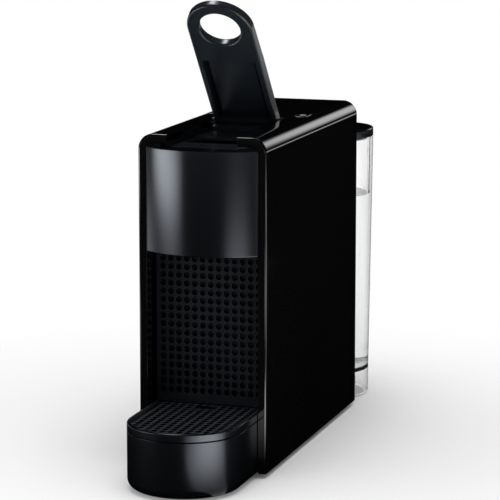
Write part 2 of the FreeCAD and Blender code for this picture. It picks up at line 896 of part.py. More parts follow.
def rubber_feet():
    profile = [
        ("0", "0"),
        ("size.foot_tip", "0"),
        ("size.foot_radius", "size.body_bottom"),
        ("0", "size.body_bottom"),
    ]
    feet = []
    for side in ("-1", "1"):
        for place in (f"{CUP_WALL} + size.foot_setback", f"{BACK} - size.foot_setback"):
            feet.append(turned("z", "0", (f"{side} * ({INNER} - size.foot_inset)", place), profile))
    return node("rubber_feet", group(*feet))


def cord_gland():
    """The bush in the rear cover: a flange outside, a sleeve through and a nut inside."""
    nut_end = "-size.wall"
    nut_start = "(-size.wall - size.gland_nut_thickness)"
    tail_end = f"({nut_start} - size.gland_tail)"
    profile = [
        ("size.gland_bore", tail_end),
        ("size.gland_sleeve", tail_end),
        ("size.gland_sleeve", nut_start),
        ("size.gland_nut", nut_start),
        ("size.gland_nut", nut_end),
        ("size.gland_sleeve", nut_end),
        ("size.gland_sleeve", "0"),
        ("size.gland_flange", "0"),
        ("size.gland_flange", "size.gland_flange_thickness"),
        ("size.gland_bore", "size.gland_flange_thickness"),
    ]
    return node("cord_gland", turned("y", BACK, ("size.gland_side", "size.gland_height"), profile))


def tank_dock():
    """The shelf behind the body that carries the tank, with its water inlet and valve pin."""
    end = f"({BACK} + size.dock_reach)"
    shelf_top = "(size.body_bottom + size.dock_shelf)"
    axis = ("0", VALVE_Y)
    body = new_body()
    shelf = rectangle("-size.dock_half", "size.dock_half", f"{BACK} - size.wall", end)
    prism(body, "Pad", "XY", "size.body_bottom", shelf_top, [shelf])
    tongue = rectangle("-size.dock_half", "size.dock_half", f"{BACK} - size.dock_tongue", end)
    prism(body, "Pad", "XY", shelf_top, DOCK_TOP, [tongue])
    ribs = []
    for side in ("-1", "1"):
        ribs.append(rectangle(*mirrored(side, "size.dock_rib_side - size.dock_rib_width / 2",
                                        "size.dock_rib_side + size.dock_rib_width / 2"),
                              f"{BACK} + size.dock_rib_start", f"{end} - size.dock_rib_end"))
    prism(body, "Pad", "XY", DOCK_TOP, "size.tank_floor - size.seam_gap", ribs)
    spigot_top = f"({DOCK_TOP} + size.spigot_height)"
    prism(body, "Pad", "XY", DOCK_TOP, spigot_top, [], [(*axis, "size.spigot_radius")])
    prism(body, "Pad", "XZ", INLET_FRONT, VALVE_Y, [], [("0", INLET_Z, "size.inlet_radius")])
    prism(body, "Pocket", "XY", f"{DOCK_TOP} + size.well_floor", f"{spigot_top} + size.overcut", [],
          [(*axis, "size.well_radius")])
    prism(body, "Pocket", "XZ", f"{INLET_FRONT} - size.overcut", f"{VALVE_Y} - size.dock_pin_radius", [],
          [("0", INLET_Z, "size.inlet_bore")])
    prism(body, "Pad", "XY", f"{DOCK_TOP} + size.well_floor / 2", f"{DOCK_TOP} + size.dock_pin_height", [],
          [(*axis, "size.dock_pin_radius")])
    return node("tank_dock", body)


def dock_seal():
    start = f"{DOCK_TOP} + size.spigot_height"
    return node("dock_seal", ring("z", start, ("0", VALVE_Y), "size.dock_seal_bore", "size.dock_seal_radius",
                                  "size.dock_seal_height"))


# Front

def front_panel():
    """The bulged cover over the brewing head, rounded back at its top and open underneath."""
    back = f"({FRONT} + size.panel_depth)"
    past_back = f"({back} + size.overcut)"
    nose = f"({FRONT} - size.panel_bulge)"
    body = new_body()
    prism(body, "Pad", "XY", PANEL_BOTTOM, PANEL_TOP, [panel_outline("0", back)])
    round_edges(body, "size.panel_round", lambda edge: all_points(
        edge, lambda point: near(point.z, PANEL_TOP)) and edge.Curve.TypeId == "Part::GeomCircle")
    skin_under = f"({CHANNEL_FLOOR} - size.seam_gap - size.wall)"
    prism(body, "Pocket", "XY", f"{PANEL_BOTTOM} - size.overcut", skin_under,
          [panel_outline("size.wall", past_back)])
    notch_half = f"({CHANNEL} + size.channel_lip + 2 * size.seam_gap)"
    notch = rectangle(f"{nose} - size.overcut", past_back,
                      f"{CHANNEL_FLOOR} - size.seam_gap", "size.body_top")
    prism(body, "Pocket", "YZ", f"-{notch_half}", notch_half, [notch])
    bite = f"(size.panel_corner * (1 - {SINE_45}))"
    corner_in = f"({PANEL_HALF} - size.panel_corner)"
    corner_low = f"({PANEL_TOP} - size.panel_corner)"
    outside = f"({PANEL_HALF} + size.overcut)"
    above = f"({PANEL_TOP} + size.overcut)"
    corners = []
    for side in ("-", ""):
        corners.append([
            (f"{side}{corner_in}", PANEL_TOP, f"{side}({PANEL_HALF} - {bite})", f"{PANEL_TOP} - {bite}"),
            (f"{side}{PANEL_HALF}", corner_low),
            (f"{side}{outside}", corner_low),
            (f"{side}{outside}", above),
            (f"{side}{corner_in}", above),
        ])
    prism(body, "Pocket", "XZ", nose, past_back, corners)
    round_edges(body, "size.panel_lip", lambda edge: all_points(
        edge, lambda point: near(point.z, PANEL_BOTTOM)) and near(edge.BoundBox.YMin, nose))
    return node("front_panel", body)


def outlet_plate():
    """The ceiling of the cup space, with the spout's hole."""
    hole = ("0", f"{FRONT} - size.spout_forward", "size.spout_radius + size.loose_gap")
    body = new_body()
    prism(body, "Pad", "XY", f"{PANEL_BOTTOM} + size.outlet_rise", OUTLET_TOP,
          [panel_outline("size.wall + size.seam_gap", CUP_WALL)], [hole])
    return node("outlet_plate", body)


def coffee_spout():
    """A chute from the brewing head to a nozzle over the cup."""
    nozzle_y = f"({FRONT} - size.spout_forward)"
    front = f"({nozzle_y} - size.spout_radius - size.loose_gap)"
    back = f"({FRONT} + size.chute_reach)"
    tip = f"({CUP_WALL_TOP} + size.loose_gap)"
    inner_half = "(size.chute_half - size.chute_wall)"
    chute_top = f"({OUTLET_TOP} + size.chute_height)"
    body = new_body()
    chute = rectangle("-size.chute_half", "size.chute_half", front, back)
    prism(body, "Pad", "XY", OUTLET_TOP, chute_top, [chute])
    prism(body, "Pad", "XY", tip, OUTLET_TOP, [], [("0", nozzle_y, "size.spout_radius")])
    trough = rectangle(f"-{inner_half}", inner_half,
                       f"{front} + size.chute_wall", f"{back} - size.chute_wall")
    prism(body, "Pocket", "XY", f"{OUTLET_TOP} + size.chute_floor", f"{chute_top} + size.overcut", [trough])
    prism(body, "Pocket", "XY", f"{tip} - size.overcut", chute_top, [], [("0", nozzle_y, "size.spout_bore")])
    return node("coffee_spout", body)


def channel_floor():
    """The floor under the closed lever, with the opening that a capsule drops through."""
    half = f"({CHANNEL} - size.seam_gap)"
    under = f"({CHANNEL_FLOOR} - size.floor_thickness)"
    body = new_body()
    plate = rectangle(f"-{half}", half,
                      f"{FRONT} + size.panel_depth + size.seam_gap", f"{PIVOT_Y} - size.channel_end")
    prism(body, "Pad", "XY", under, CHANNEL_FLOOR, [plate])
    slot = rounded_rectangle(f"-{SLOT_HALF}", SLOT_HALF, SLOT_FRONT, f"{SLOT_FRONT} + size.slot_length",
                             "size.slot_corner")
    prism(body, "Pocket", "XY", f"{under} - size.overcut", f"{CHANNEL_FLOOR} + size.overcut", [slot])
    return node("channel_floor", body)


# Brewing unit

def chassis_plate(label, side):
    """A side plate of the inner frame: it carries the lever shaft and guides the cage pin."""
    hub_top = f"{PIVOT_Z} + size.shaft_radius + size.hub_wall + size.loose_gap"
    ear_top = f"(min({hub_top}; size.body_top - size.wall - size.snug_gap))"
    floor_under = f"({CHANNEL_FLOOR} - size.floor_thickness)"
    rear_leg = f"({CHASSIS_BACK} - size.leg_width)"
    front_leg_back = f"({FRONT_LEG} + size.leg_width)"
    outline = [
        (CHASSIS_FRONT, OUTLET_TOP),
        (CHASSIS_FRONT, floor_under),
        (f"{PIVOT_Y} - size.ear_half", floor_under),
        (f"{PIVOT_Y} - size.ear_half", ear_top),
        (f"{PIVOT_Y} + size.ear_half", ear_top),
        (f"{PIVOT_Y} + size.ear_half", BOARD_Z),
        (CHASSIS_BACK, BOARD_Z),
        (CHASSIS_BACK, BASE_TOP),
        (rear_leg, BASE_TOP),
        (rear_leg, OUTLET_TOP),
        (front_leg_back, OUTLET_TOP),
        (front_leg_back, BASE_TOP),
        (FRONT_LEG, BASE_TOP),
        (FRONT_LEG, OUTLET_TOP),
    ]
    reach = "(size.pin_radius + size.moving_gap)"
    guide = rectangle(f"{PIN_Y} - size.cage_travel - {reach}", f"{PIN_Y} + {reach}",
                      f"{BREW} - {reach}", f"{BREW} + {reach}")
    low, high = mirrored(side, PLATE_INNER, PLATE_OUTER)
    body = new_body()
    prism(body, "Pad", "YZ", low, high, [outline])
    shaft_hole = (PIVOT_Y, PIVOT_Z, "size.shaft_radius + size.running_gap")
    prism(body, "Pocket", "YZ", f"{low} - size.overcut", f"{high} + size.overcut", [guide], [shaft_hole])
    return node(label, body)


def chassis_spacers():
    """Bars that hold the two side plates apart."""
    half_leg = "size.leg_width / 2"
    rear = f"{CHASSIS_BACK} - {half_leg}"
    high = f"{BOARD_Z} - size.spacer_drop"
    places = [
        (f"{CHASSIS_FRONT} + {half_leg}", BOARD_Z),
        (f"{BUTTON_Y} + size.leg_width", high),
        (rear, high),
        (rear, f"{OUTLET_TOP} - size.spacer_below"),
        (f"{FRONT_LEG} + {half_leg}", f"{OUTLET_TOP} - size.leg_width"),
    ]
    bars = [rod("x", f"-{PLATE_INNER}", PLATE_INNER, place, "size.spacer_radius") for place in places]
    return node("chassis_spacers", group(*bars))


def brew_head():
    """The fixed block in front of the capsule, with the way down to the spout."""
    half = f"({PLATE_INNER} - size.snug_gap)"
    bottom = f"({BREW} - size.head_below)"
    drain_y = f"({HEAD_FRONT} + size.head_thickness / 2)"
    body = new_body()
    block = rounded_rectangle(f"-{half}", half, bottom, f"{BREW} + size.head_above", "size.head_corner")
    prism(body, "Pad", "XZ", HEAD_FRONT, HEAD_BACK, [block])
    seat = ("0", BREW, "size.extraction_radius + size.seam_gap")
    prism(body, "Pocket", "XZ", f"{HEAD_BACK} - size.plate_seat", f"{HEAD_BACK} + size.overcut", [], [seat])
    prism(body, "Pocket", "XY", f"{bottom} - size.overcut", BREW, [], [("0", drain_y, "size.drain_radius")])
    prism(body, "Pocket", "XZ", drain_y, HEAD_BACK, [], [("0", BREW, "size.drain_radius")])
    return node("brew_head", body)


def extraction_plate():
    """The steel disc whose studs open the capsule's foil."""
    face = f"({HEAD_BACK} - size.plate_seat)"
    stud_foot = f"({face} + size.extraction_thickness)"
    body = new_body()
    prism(body, "Pad", "XZ", face, stud_foot, [], [("0", BREW, "size.extraction_radius")])
    studs = []
    for column in range(-2, 3):
        for row in range(-2, 3):
            across = f"({column} * size.stud_pitch)"
            up = f"({BREW} + {row} * size.stud_pitch)"
            studs.append(rectangle(f"{across} - size.stud_half", f"{across} + size.stud_half",
                                   f"{up} - size.stud_half", f"{up} + size.stud_half"))
    prism(body, "Pad", "XZ", stud_foot, f"{stud_foot} + size.stud_half", studs)
    return node("extraction_plate", body)


def capsule_cage():
    """The sliding cup that closes over the capsule, with side guides and the yoke for its cross pin."""
    cup_back = f"({CAGE_FRONT} + size.cage_length)"
    cup_floor = f"({CAGE_FRONT} + size.cage_depth)"
    yoke_back = f"({cup_back} + size.yoke_length)"
    axis = ("0", BREW)
    body = new_body()
    prism(body, "Pad", "XZ", CAGE_FRONT, cup_back, [], [(*axis, "size.cage_radius")])
    yoke = rounded_rectangle("-size.yoke_half", "size.yoke_half", f"{BREW} - size.yoke_height",
                             f"{BREW} + size.yoke_height", "size.head_corner")
    prism(body, "Pad", "XZ", cup_back, yoke_back, [yoke])
    guide_outer = f"({PLATE_INNER} - size.guide_gap)"
    guide = rectangle(f"-{guide_outer}", guide_outer,
                      f"{BREW} - size.guide_half", f"{BREW} + size.guide_half")
    prism(body, "Pad", "XZ", f"{CAGE_FRONT} + size.guide_setback", cup_back, [guide])
    prism(body, "Pocket", "XZ", f"{CAGE_FRONT} - size.overcut", cup_floor, [], [(*axis, "size.cage_bore")])
    prism(body, "Pocket", "XZ", f"{cup_floor} - size.overcut", f"{yoke_back} + size.overcut", [],
          [(*axis, "size.feed_radius")])
    prism(body, "Pocket", "XZ", f"{yoke_back} - size.feed_tube_seat", f"{yoke_back} + size.overcut", [],
          [(*axis, "size.feed_tube")])
    prism(body, "Pocket", "YZ", "-size.yoke_half - size.overcut", "size.yoke_half + size.overcut", [],
          [(PIN_Y, BREW, "size.pin_radius + size.press_gap")])
    return node("capsule_cage", body)


def cage_seal():
    thickness = "size.cage_seal_thickness"
    return node("cage_seal", ring("y", f"{CAGE_FRONT} - {thickness}", ("0", BREW),
                                  "size.cage_bore + size.slot_room", "size.cage_radius", thickness))


def piercing_needles():
    """Three points in the cage's floor that pierce the capsule."""
    start = f"{CAGE_FRONT} + size.cage_depth - size.needle_length"
    profile = [
        ("0", "0"),
        ("size.needle_point", "0"),
        ("size.needle_radius", "size.needle_length"),
        ("0", "size.needle_length"),
    ]
    needles = []
    for turn in range(3):
        angle = math.radians(90 + 120 * turn)
        across = f"size.needle_circle * {math.cos(angle):.6f}"
        up = f"{BREW} + size.needle_circle * {math.sin(angle):.6f}"
        needles.append(turned("y", start, (across, up), profile))
    return node("piercing_needles", group(*needles))


def cage_cross_pin():
    return node("cage_cross_pin", rod("x", f"-{SHAFT_END}", SHAFT_END, (PIN_Y, BREW), "size.pin_radius"))


def injector_tube():
    start = f"{CAGE_FRONT} + size.cage_length + size.yoke_length - size.feed_tube_seat"
    return node("injector_tube", ring("y", start, ("0", BREW), "size.feed_radius", "size.feed_tube",
                                      "size.feed_tube_length"))


# Lever, modelled shut about its pivot and then raised to where it rests

def raised(piece):
    opened = FreeCAD.Rotation(Vector(1, 0, 0), -number("size.lever_angle"))
    piece.Placement = FreeCAD.Placement(Vector(0, number(PIVOT_Y), number(PIVOT_Z)), opened)
    return piece


def lever():
    """The handle: a tapering slab with a round end, a lipped finger ring, a hub and a recess underneath."""
    ring_y = "-size.lever_reach"
    tip = f"({ring_y} - {LEVER_HALF})"
    top = "size.lever_thickness"
    above = f"({top} + size.overcut)"
    outside = f"({LEVER_HALF} + size.overcut)"
    outline = [
        (LEVER_HALF, "size.lever_heel"),
        (LEVER_HALF, ring_y, "0", tip),
        (f"-{LEVER_HALF}", ring_y),
        (f"-{LEVER_HALF}", "size.lever_heel"),
    ]
    hub = ("0", "0", "size.shaft_radius + size.hub_wall")
    bore = ("0", "0", "size.shaft_radius + size.press_gap")
    body = new_body()
    prism(body, "Pad", "XY", "0", top, [outline])
    round_edges(body, "size.lever_edge_round", lambda edge: all_points(
        edge, lambda point: near(point.z, "0")) and not all_points(
        edge, lambda point: near(point.y, "size.lever_heel")))
    wedge = [
        ("-size.lever_taper_start", top),
        (f"{tip} - size.overcut", "size.lever_tip"),
        (f"{tip} - size.overcut", above),
        ("-size.lever_taper_start", above),
    ]
    prism(body, "Pocket", "YZ", f"-{outside}", outside, [wedge])
    prism(body, "Pad", "YZ", f"-{LEVER_HALF}", LEVER_HALF, [], [hub])
    prism(body, "Pocket", "XY", "-size.overcut", above, [], [("0", ring_y, "size.lever_hole / 2")])
    prism(body, "Pocket", "XY", "-size.overcut", "size.lever_recess", [lever_recess("0", "0")])
    prism(body, "Pocket", "YZ", f"-{outside}", outside, [], [bore])
    reach = number("size.lever_reach")
    round_edges(body, "size.lever_lip_round", lambda edge: all_points(
        edge, lambda point: near(math.hypot(point.x, point.y + reach), "size.lever_hole / 2")))
    round_edges(body, "size.lever_heel_round", lambda edge: all_points(
        edge, lambda point: near(point.y, "size.lever_heel") and near(point.z, top)))
    return node("lever", raised(body))


def lever_recess(side_gap, end_gap):
    half = f"({LEVER_HALF} - size.lever_recess_margin - {side_gap})"
    return rounded_rectangle(
        f"-{half}", half, f"-size.lever_recess_end + {end_gap}", f"-size.lever_recess_start - {end_gap}",
        f"(size.lever_recess_corner - {end_gap})")


def lever_underside_cover():
    body = new_body()
    prism(body, "Pad", "XY", "size.lever_recess - size.lever_cover", "size.lever_recess",
          [lever_recess("size.lever_cover_gap", "size.snug_gap")])
    return node("lever_underside_cover", raised(body))


def lever_shaft():
    return node("lever_shaft", rod("x", f"-{SHAFT_END}", SHAFT_END, (PIVOT_Y, PIVOT_Z), "size.shaft_radius"))


def cam_point(closing):
    """Where the cage pin sits in the lever's resting frame once the lever has closed by this angle."""
    angle = math.radians(closing)
    travel = number("size.cage_travel") * closing / number("size.lever_angle")
    across = number(f"{PIN_Y} - {PIVOT_Y}") - travel
    up = number(f"{BREW} - {PIVOT_Z}")
    along = across * math.cos(angle) + up * math.sin(angle)
    return Vector(0, along, up * math.cos(angle) - across * math.sin(angle))


def around(origin, radius, angle):
    return origin + Vector(0, radius * math.cos(angle), radius * math.sin(angle))


def heading(origin, point):
    return math.atan2(point.z - origin.z, point.y - origin.y) % (2 * math.pi)


def arc_edge(first, middle, last):
    return Part.Arc(first, middle, last).toShape()


def cam_plate(label, side):
    """A sector on the lever shaft; its curved slot drives the cage pin forward as the lever closes."""
    whole = number("size.lever_angle")
    first, middle, last = (cam_point(share * whole) for share in (0, 0.5, 1))
    path = arc_edge(first, middle, last).Curve
    reach = number("size.pin_radius + size.moving_gap")
    rim = number("size.cam_radius")
    margin = math.radians(number("size.cam_margin"))
    hub = Vector()
    low = heading(hub, last) - margin
    high = heading(hub, first) + margin
    sector = Part.Face(Part.Wire([
        Part.LineSegment(hub, around(hub, rim, low)).toShape(),
        arc_edge(around(hub, rim, low), around(hub, rim, (low + high) / 2), around(hub, rim, high)),
        Part.LineSegment(around(hub, rim, high), hub).toShape(),
    ]))
    inner = path.Radius - reach
    outer = path.Radius + reach
    start, halfway, end = (heading(path.Center, point) for point in (first, middle, last))
    quarter = math.copysign(math.pi / 2, start - end)
    near_side = [around(path.Center, inner, angle) for angle in (start, halfway, end)]
    far_side = [around(path.Center, outer, angle) for angle in (end, halfway, start)]
    slot = Part.Face(Part.Wire([
        arc_edge(*near_side),
        arc_edge(near_side[-1], around(last, reach, end - quarter), far_side[0]),
        arc_edge(*far_side),
        arc_edge(far_side[-1], around(first, reach, start + quarter), near_side[0]),
    ]))
    thickness = number("size.plate_thickness")
    along = Vector(thickness, 0, 0)
    boss = Part.makeCylinder(number("size.shaft_radius + size.hub_wall"), thickness, hub, along)
    bore = Part.makeCylinder(number("size.shaft_radius + size.press_gap"), thickness, hub, along)
    piece = shaped(sector.extrude(along).fuse(boss).cut([slot.extrude(along), bore]).removeSplitter())
    inside = f"({PLATE_OUTER} + size.cam_gap)"
    place, _ = mirrored(side, inside, f"{inside} + size.plate_thickness")
    piece.Placement.Base = Vector(number(place), number(PIVOT_Y), number(PIVOT_Z))
    return node(label, piece)


# Drip tray and used-capsule container, which slide out together

def capsule_container():
    """The bin for used capsules; its tall front wall is the dimpled back of the cup space."""
    wall_back = f"({CUP_WALL} + size.cup_wall_thickness)"
    inner_half = f"({BIN_HALF} - size.bin_wall)"
    wall_foot = "(size.grid_top + size.overcut)"
    outside = rectangle(f"-{BIN_HALF}", BIN_HALF, CUP_WALL, BIN_BACK)
    cup_wall = rectangle(f"-{TRAY_HALF}", TRAY_HALF, CUP_WALL, wall_back)
    body = new_body()
    prism(body, "Pad", "XY", "size.bin_bottom", BIN_TOP, [outside])
    prism(body, "Pad", "XY", wall_foot, CUP_WALL_TOP, [cup_wall])
    hollow = rectangle(f"-{inner_half}", inner_half, wall_back, f"{BIN_BACK} - size.bin_wall")
    prism(body, "Pocket", "XY", "size.bin_bottom + size.bin_wall", f"{BIN_TOP} + size.overcut", [hollow])
    prism(body, "Pad", "XZ", f"{CUP_WALL} - size.peg_length", CUP_WALL, [], peg_circles("size.peg_radius"))
    pitch = number("size.hole_pitch")
    reach = number("size.dimple_width / 2 + size.dimple_margin")
    columns = int((number(TRAY_HALF) - reach) / pitch)
    first = number("size.grid_top + size.dimple_rise")
    rows = int((number(CUP_WALL_TOP) - reach - first) / pitch) + 1
    dimples = []
    for column in range(-columns, columns + 1):
        for row in range(rows):
            centre = Vector(column * pitch, number(CUP_WALL), first + row * pitch)
            dimples.append(octagon_hole(centre, Vector(0, 1, 0), number("size.dimple_width"),
                                        number("size.dimple_depth")))
    return node("capsule_container", cut(body, shaped(Part.makeCompound(dimples))))


def peg_circles(radius):
    return [(f"{side} * size.peg_side", "size.peg_height", radius) for side in ("-1", "1")]


def drip_tray():
    """The round-nosed tray that hooks on the container's pegs."""
    back = f"({CUP_WALL} - size.seam_gap)"
    back_inside = f"({back} - size.tray_wall)"
    body = new_body()
    prism(body, "Pad", "XY", "size.tray_bottom", "size.tray_rim", [tray_outline("0", back)])
    round_edges(body, "size.tray_round", lambda edge: all_points(
        edge, lambda point: near(point.z, "size.tray_bottom")) and not all_points(
        edge, lambda point: near(point.y, back)))
    prism(body, "Pocket", "XY", "size.tray_bottom + size.tray_floor", "size.tray_rim + size.overcut",
          [tray_outline("size.tray_wall", back_inside)])
    prism(body, "Pocket", "XZ", f"{back_inside} - size.overcut", f"{back} + size.overcut", [],
          peg_circles("size.peg_radius + size.snug_gap"))
    return node("drip_tray", body)


def drip_grid():
    """The perforated stand for the cup: a rim, a plate and a ring that drops into the tray."""
    back = f"({CUP_WALL} - size.cup_wall_gap)"
    dish = "(size.grid_top - size.grid_dish)"
    plate_under = f"({dish} - size.grid_plate)"
    ring_out = "(size.tray_wall + size.loose_gap)"
    ring_in = f"({ring_out} + size.grid_ring)"
    body = new_body()
    prism(body, "Pad", "XY", "size.grid_bottom", "size.grid_top", [tray_outline("0", back)])
    prism(body, "Pocket", "XY", dish, "size.grid_top + size.overcut",
          [tray_outline("size.grid_rim", f"{back} - size.grid_rim")])
    prism(body, "Pocket", "XY", "size.grid_bottom - size.overcut", plate_under,
          [tray_outline("size.grid_edge", f"{back} - size.grid_edge")])
    prism(body, "Pad", "XY", "size.grid_bottom - size.grid_ring_depth", f"{plate_under} + size.grid_dish",
          [tray_outline(ring_out, f"{back} - {ring_out}"), tray_outline(ring_in, f"{back} - {ring_in}")])
    round_edges(body, "size.grid_edge_round", lambda edge: all_points(
        edge, lambda point: near(point.z, "size.grid_top") and on_tray_outline(point)))
    finger_back = f"({back} - size.finger_setback)"
    finger = rectangle("-size.finger_half", "size.finger_half",
                       f"{finger_back} - size.finger_length", finger_back)
    prism(body, "Pocket", "XY", plate_under, "size.grid_top + size.overcut", [finger])
    pitch = number("size.hole_pitch")
    nose_y = number(f"{NOSE} + {TRAY_HALF}")
    room = number(f"{TRAY_HALF} - size.tray_wall - size.grid_margin")
    columns = int(room / pitch)
    first = number(f"{back} - size.grid_first")
    rows = int((first - number(NOSE)) / pitch)
    finger_reach = number("size.finger_half") + number("size.grid_hole")
    low = number("size.grid_bottom - size.overcut")
    depth = number("size.grid_top + size.overcut") - low
    holes = []
    for column in range(-columns, columns + 1):
        for row in range(rows):
            centre = Vector(column * pitch, first - row * pitch, low)
            in_nose = centre.y > nose_y or math.hypot(centre.x, centre.y - nose_y) < room
            at_finger_slot = abs(centre.x) < finger_reach and row < 3
            if in_nose and not at_finger_slot:
                holes.append(octagon_hole(centre, Vector(0, 0, 1), number("size.grid_hole"), depth))
    return node("drip_grid", cut(body, shaped(Part.makeCompound(holes))))


def on_tray_outline(point):
    nose_y = number(f"{NOSE} + {TRAY_HALF}")
    if point.y > nose_y:
        return near(abs(point.x), TRAY_HALF)
    return near(math.hypot(point.x, point.y - nose_y), TRAY_HALF)


# Buttons

def button_span(side, gap):
    """The button's outline, widened by a gap: low and high across, low and high along."""
    centre = f"({side} * {BUTTON_X})"
    half_width = f"(size.button_width / 2 + {gap})"
    half_length = f"(size.button_length / 2 + {gap})"
    return (f"({centre} - {half_width})", f"({centre} + {half_width})",
            f"({BUTTON_Y} - {half_length})", f"({BUTTON_Y} + {half_length})")


def button(label, side):
    """A cap in its hole, with a flange that keeps it in and a stem over its switch."""
    cap_top = "(size.body_top + size.button_proud)"
    flange_top = "(size.body_top - size.button_flange_drop)"
    flange_under = f"({flange_top} - size.button_flange_thickness)"
    body = new_body()
    cap = rounded_rectangle(*button_span(side, "0"), "size.button_corner")
    prism(body, "Pad", "XY", f"{cap_top} - size.button_height", cap_top, [cap])
    round_edges(body, "size.button_round", lambda edge: all_points(
        edge, lambda point: near(point.z, cap_top)))
    prism(body, "Pad", "XY", flange_under, flange_top, [rectangle(*button_span(side, "size.button_flange"))])
    prism(body, "Pad", "XY", "size.body_top - size.stem_drop", flange_under, [],
          [(f"{side} * {BUTTON_X}", BUTTON_Y, "size.stem_radius")])
    return node(label, body)


def button_board():
    half = f"({BUTTON_X} + size.board_reach)"
    return node("button_board", box(f"-{half}", half, f"{BUTTON_Y} - size.board_front",
                                    f"{BUTTON_Y} + size.board_back", BOARD_Z, SWITCH_Z))


def button_switches():
    case_top = f"({SWITCH_Z} + size.switch_height)"
    switches = []
    for side in ("-1", "1"):
        centre = f"({side} * {BUTTON_X})"
        case = box(f"{centre} - size.switch_half", f"{centre} + size.switch_half",
                   f"{BUTTON_Y} - size.switch_half", f"{BUTTON_Y} + size.switch_half", SWITCH_Z, case_top)
        plunger = rod("z", case_top, f"{case_top} + size.plunger_height", (centre, BUTTON_Y),
                      "size.plunger_radius")
        switches.append(fuse(case, plunger))
    return node("button_switches", group(*switches))


# Water tank

def tank_body():
    """The clear wall of the tank, open at the top and below its floor, notched over the dock."""
    notch_half = "(size.dock_half + size.overcut)"
    body = new_body()
    loft(body, "Additive", "size.tank_bottom", tank_outline("0", "size.tank_taper"),
         "size.tank_rim", tank_outline("0", "0"))
    loft(body, "Subtractive", "size.tank_bottom - size.press_gap",
         tank_outline("size.tank_wall", "size.tank_taper"),
         "size.tank_rim + size.press_gap", tank_outline("size.tank_wall", "0"))
    notch = rectangle(f"-{notch_half}", notch_half, "0", "size.tank_notch_top")
    notch_end = f"({BACK} + size.tank_gap + size.tank_round / 2)"
    prism(body, "Pocket", "XZ", f"{BACK} + size.overcut", notch_end, [notch])
    return node("tank_body", body)


def tank_floor():
    """The plate that closes the tank, with the valve's nose, port and stem guide."""
    rise = "(size.tank_floor - size.tank_bottom)"
    taper = f"(size.tank_taper * (1 - {rise} / (size.tank_rim - size.tank_bottom)))"
    guide_low = "(size.tank_floor + size.valve_guide_inset / 2)"
    guide_high = f"({FLOOR_TOP} - size.valve_guide_inset)"
    half_web = "(size.valve_guide_web / 2)"
    axis = ("0", VALVE_Y)
    body = new_body()
    nose = "(size.tank_floor - size.valve_nose_drop)"
    web_half = "(size.valve_port + size.valve_guide_inset / 2)"
    prism(body, "Pad", "XY", "size.tank_floor", FLOOR_TOP,
          [tank_outline("size.tank_wall + size.running_gap", taper)])
    prism(body, "Pad", "XY", nose, guide_low, [], [(*axis, "size.valve_nose")])
    prism(body, "Pocket", "XY", f"{nose} - size.overcut", f"{FLOOR_TOP} + size.overcut", [],
          [(*axis, "size.valve_port")])
    web = rectangle(f"-{web_half}", web_half, f"{VALVE_Y} - {half_web}", f"{VALVE_Y} + {half_web}")
    prism(body, "Pad", "XY", guide_low, guide_high, [web])
    prism(body, "Pad", "XY", guide_low, guide_high, [], [(*axis, "size.valve_guide")])
    prism(body, "Pocket", "XY", guide_low, guide_high, [], [(*axis, "size.valve_stem + size.loose_gap")])
    return node("tank_floor", body)


def tank_lid():
    """The lid: a dished top with a raised rim, and a skirt that drops into the tank."""
    under = "(size.tank_rim + size.loose_gap)"
    skirt_out = "(size.tank_wall + size.cup_wall_gap)"
    body = new_body()
    prism(body, "Pad", "XY", under, "size.lid_top", [tank_outline("0", "0")])
    round_edges(body, "size.lid_round", lambda edge: all_points(
        edge, lambda point: near(point.z, "size.lid_top")))
    prism(body, "Pocket", "XY", "size.lid_top - size.lid_dish", "size.lid_top + size.overcut",
          [tank_outline("size.lid_rim", "0")])
    prism(body, "Pad", "XY", "size.tank_rim - size.lid_skirt_depth", f"{under} + size.lid_dish / 2",
          [tank_outline(skirt_out, "0"), tank_outline(f"{skirt_out} + size.lid_skirt", "0")])
    return node("tank_lid", body)


def valve_poppet():
    """The tank's valve, held open by the dock's pin while the tank is in place."""
    start = "(size.tank_floor - size.valve_stem_drop)"
    seat = f"({VALVE_HEAD} - {start})"
    profile = [
        ("0", "0"),
        ("size.valve_stem", "0"),
        ("size.valve_stem", seat),
        ("size.valve_head", seat),
        ("size.valve_head", f"{seat} + size.valve_head_thickness"),
        ("0", f"{seat} + size.valve_head_thickness"),
    ]
    return node("valve_poppet", turned("z", start, ("0", VALVE_Y), profile))


def valve_seal():
    start = f"{FLOOR_TOP} + size.valve_opening"
    return node("valve_seal", ring("z", start, ("0", VALVE_Y), "size.valve_stem", "size.valve_seal",
                                   "size.valve_seal_thickness"))


def valve_cage():
    """Three posts and a ring over the valve, which its spring pushes against."""
    under = f"({VALVE_CAGE_TOP} - size.valve_cage_ring)"
    body = new_body()
    prism(body, "Pad", "XY", under, VALVE_CAGE_TOP, [],
          [("0", VALVE_Y, "size.valve_cage_radius"), ("0", VALVE_Y, "size.valve_cage_hole")])
    posts = []
    for turn in range(3):
        angle = math.radians(30 + 120 * turn)
        posts.append((f"size.valve_post_circle * {math.cos(angle):.6f}",
                      f"{VALVE_Y} + size.valve_post_circle * {math.sin(angle):.6f}", "size.valve_post"))
    prism(body, "Pad", "XY", FLOOR_TOP, under, [], posts)
    return node("valve_cage", body)


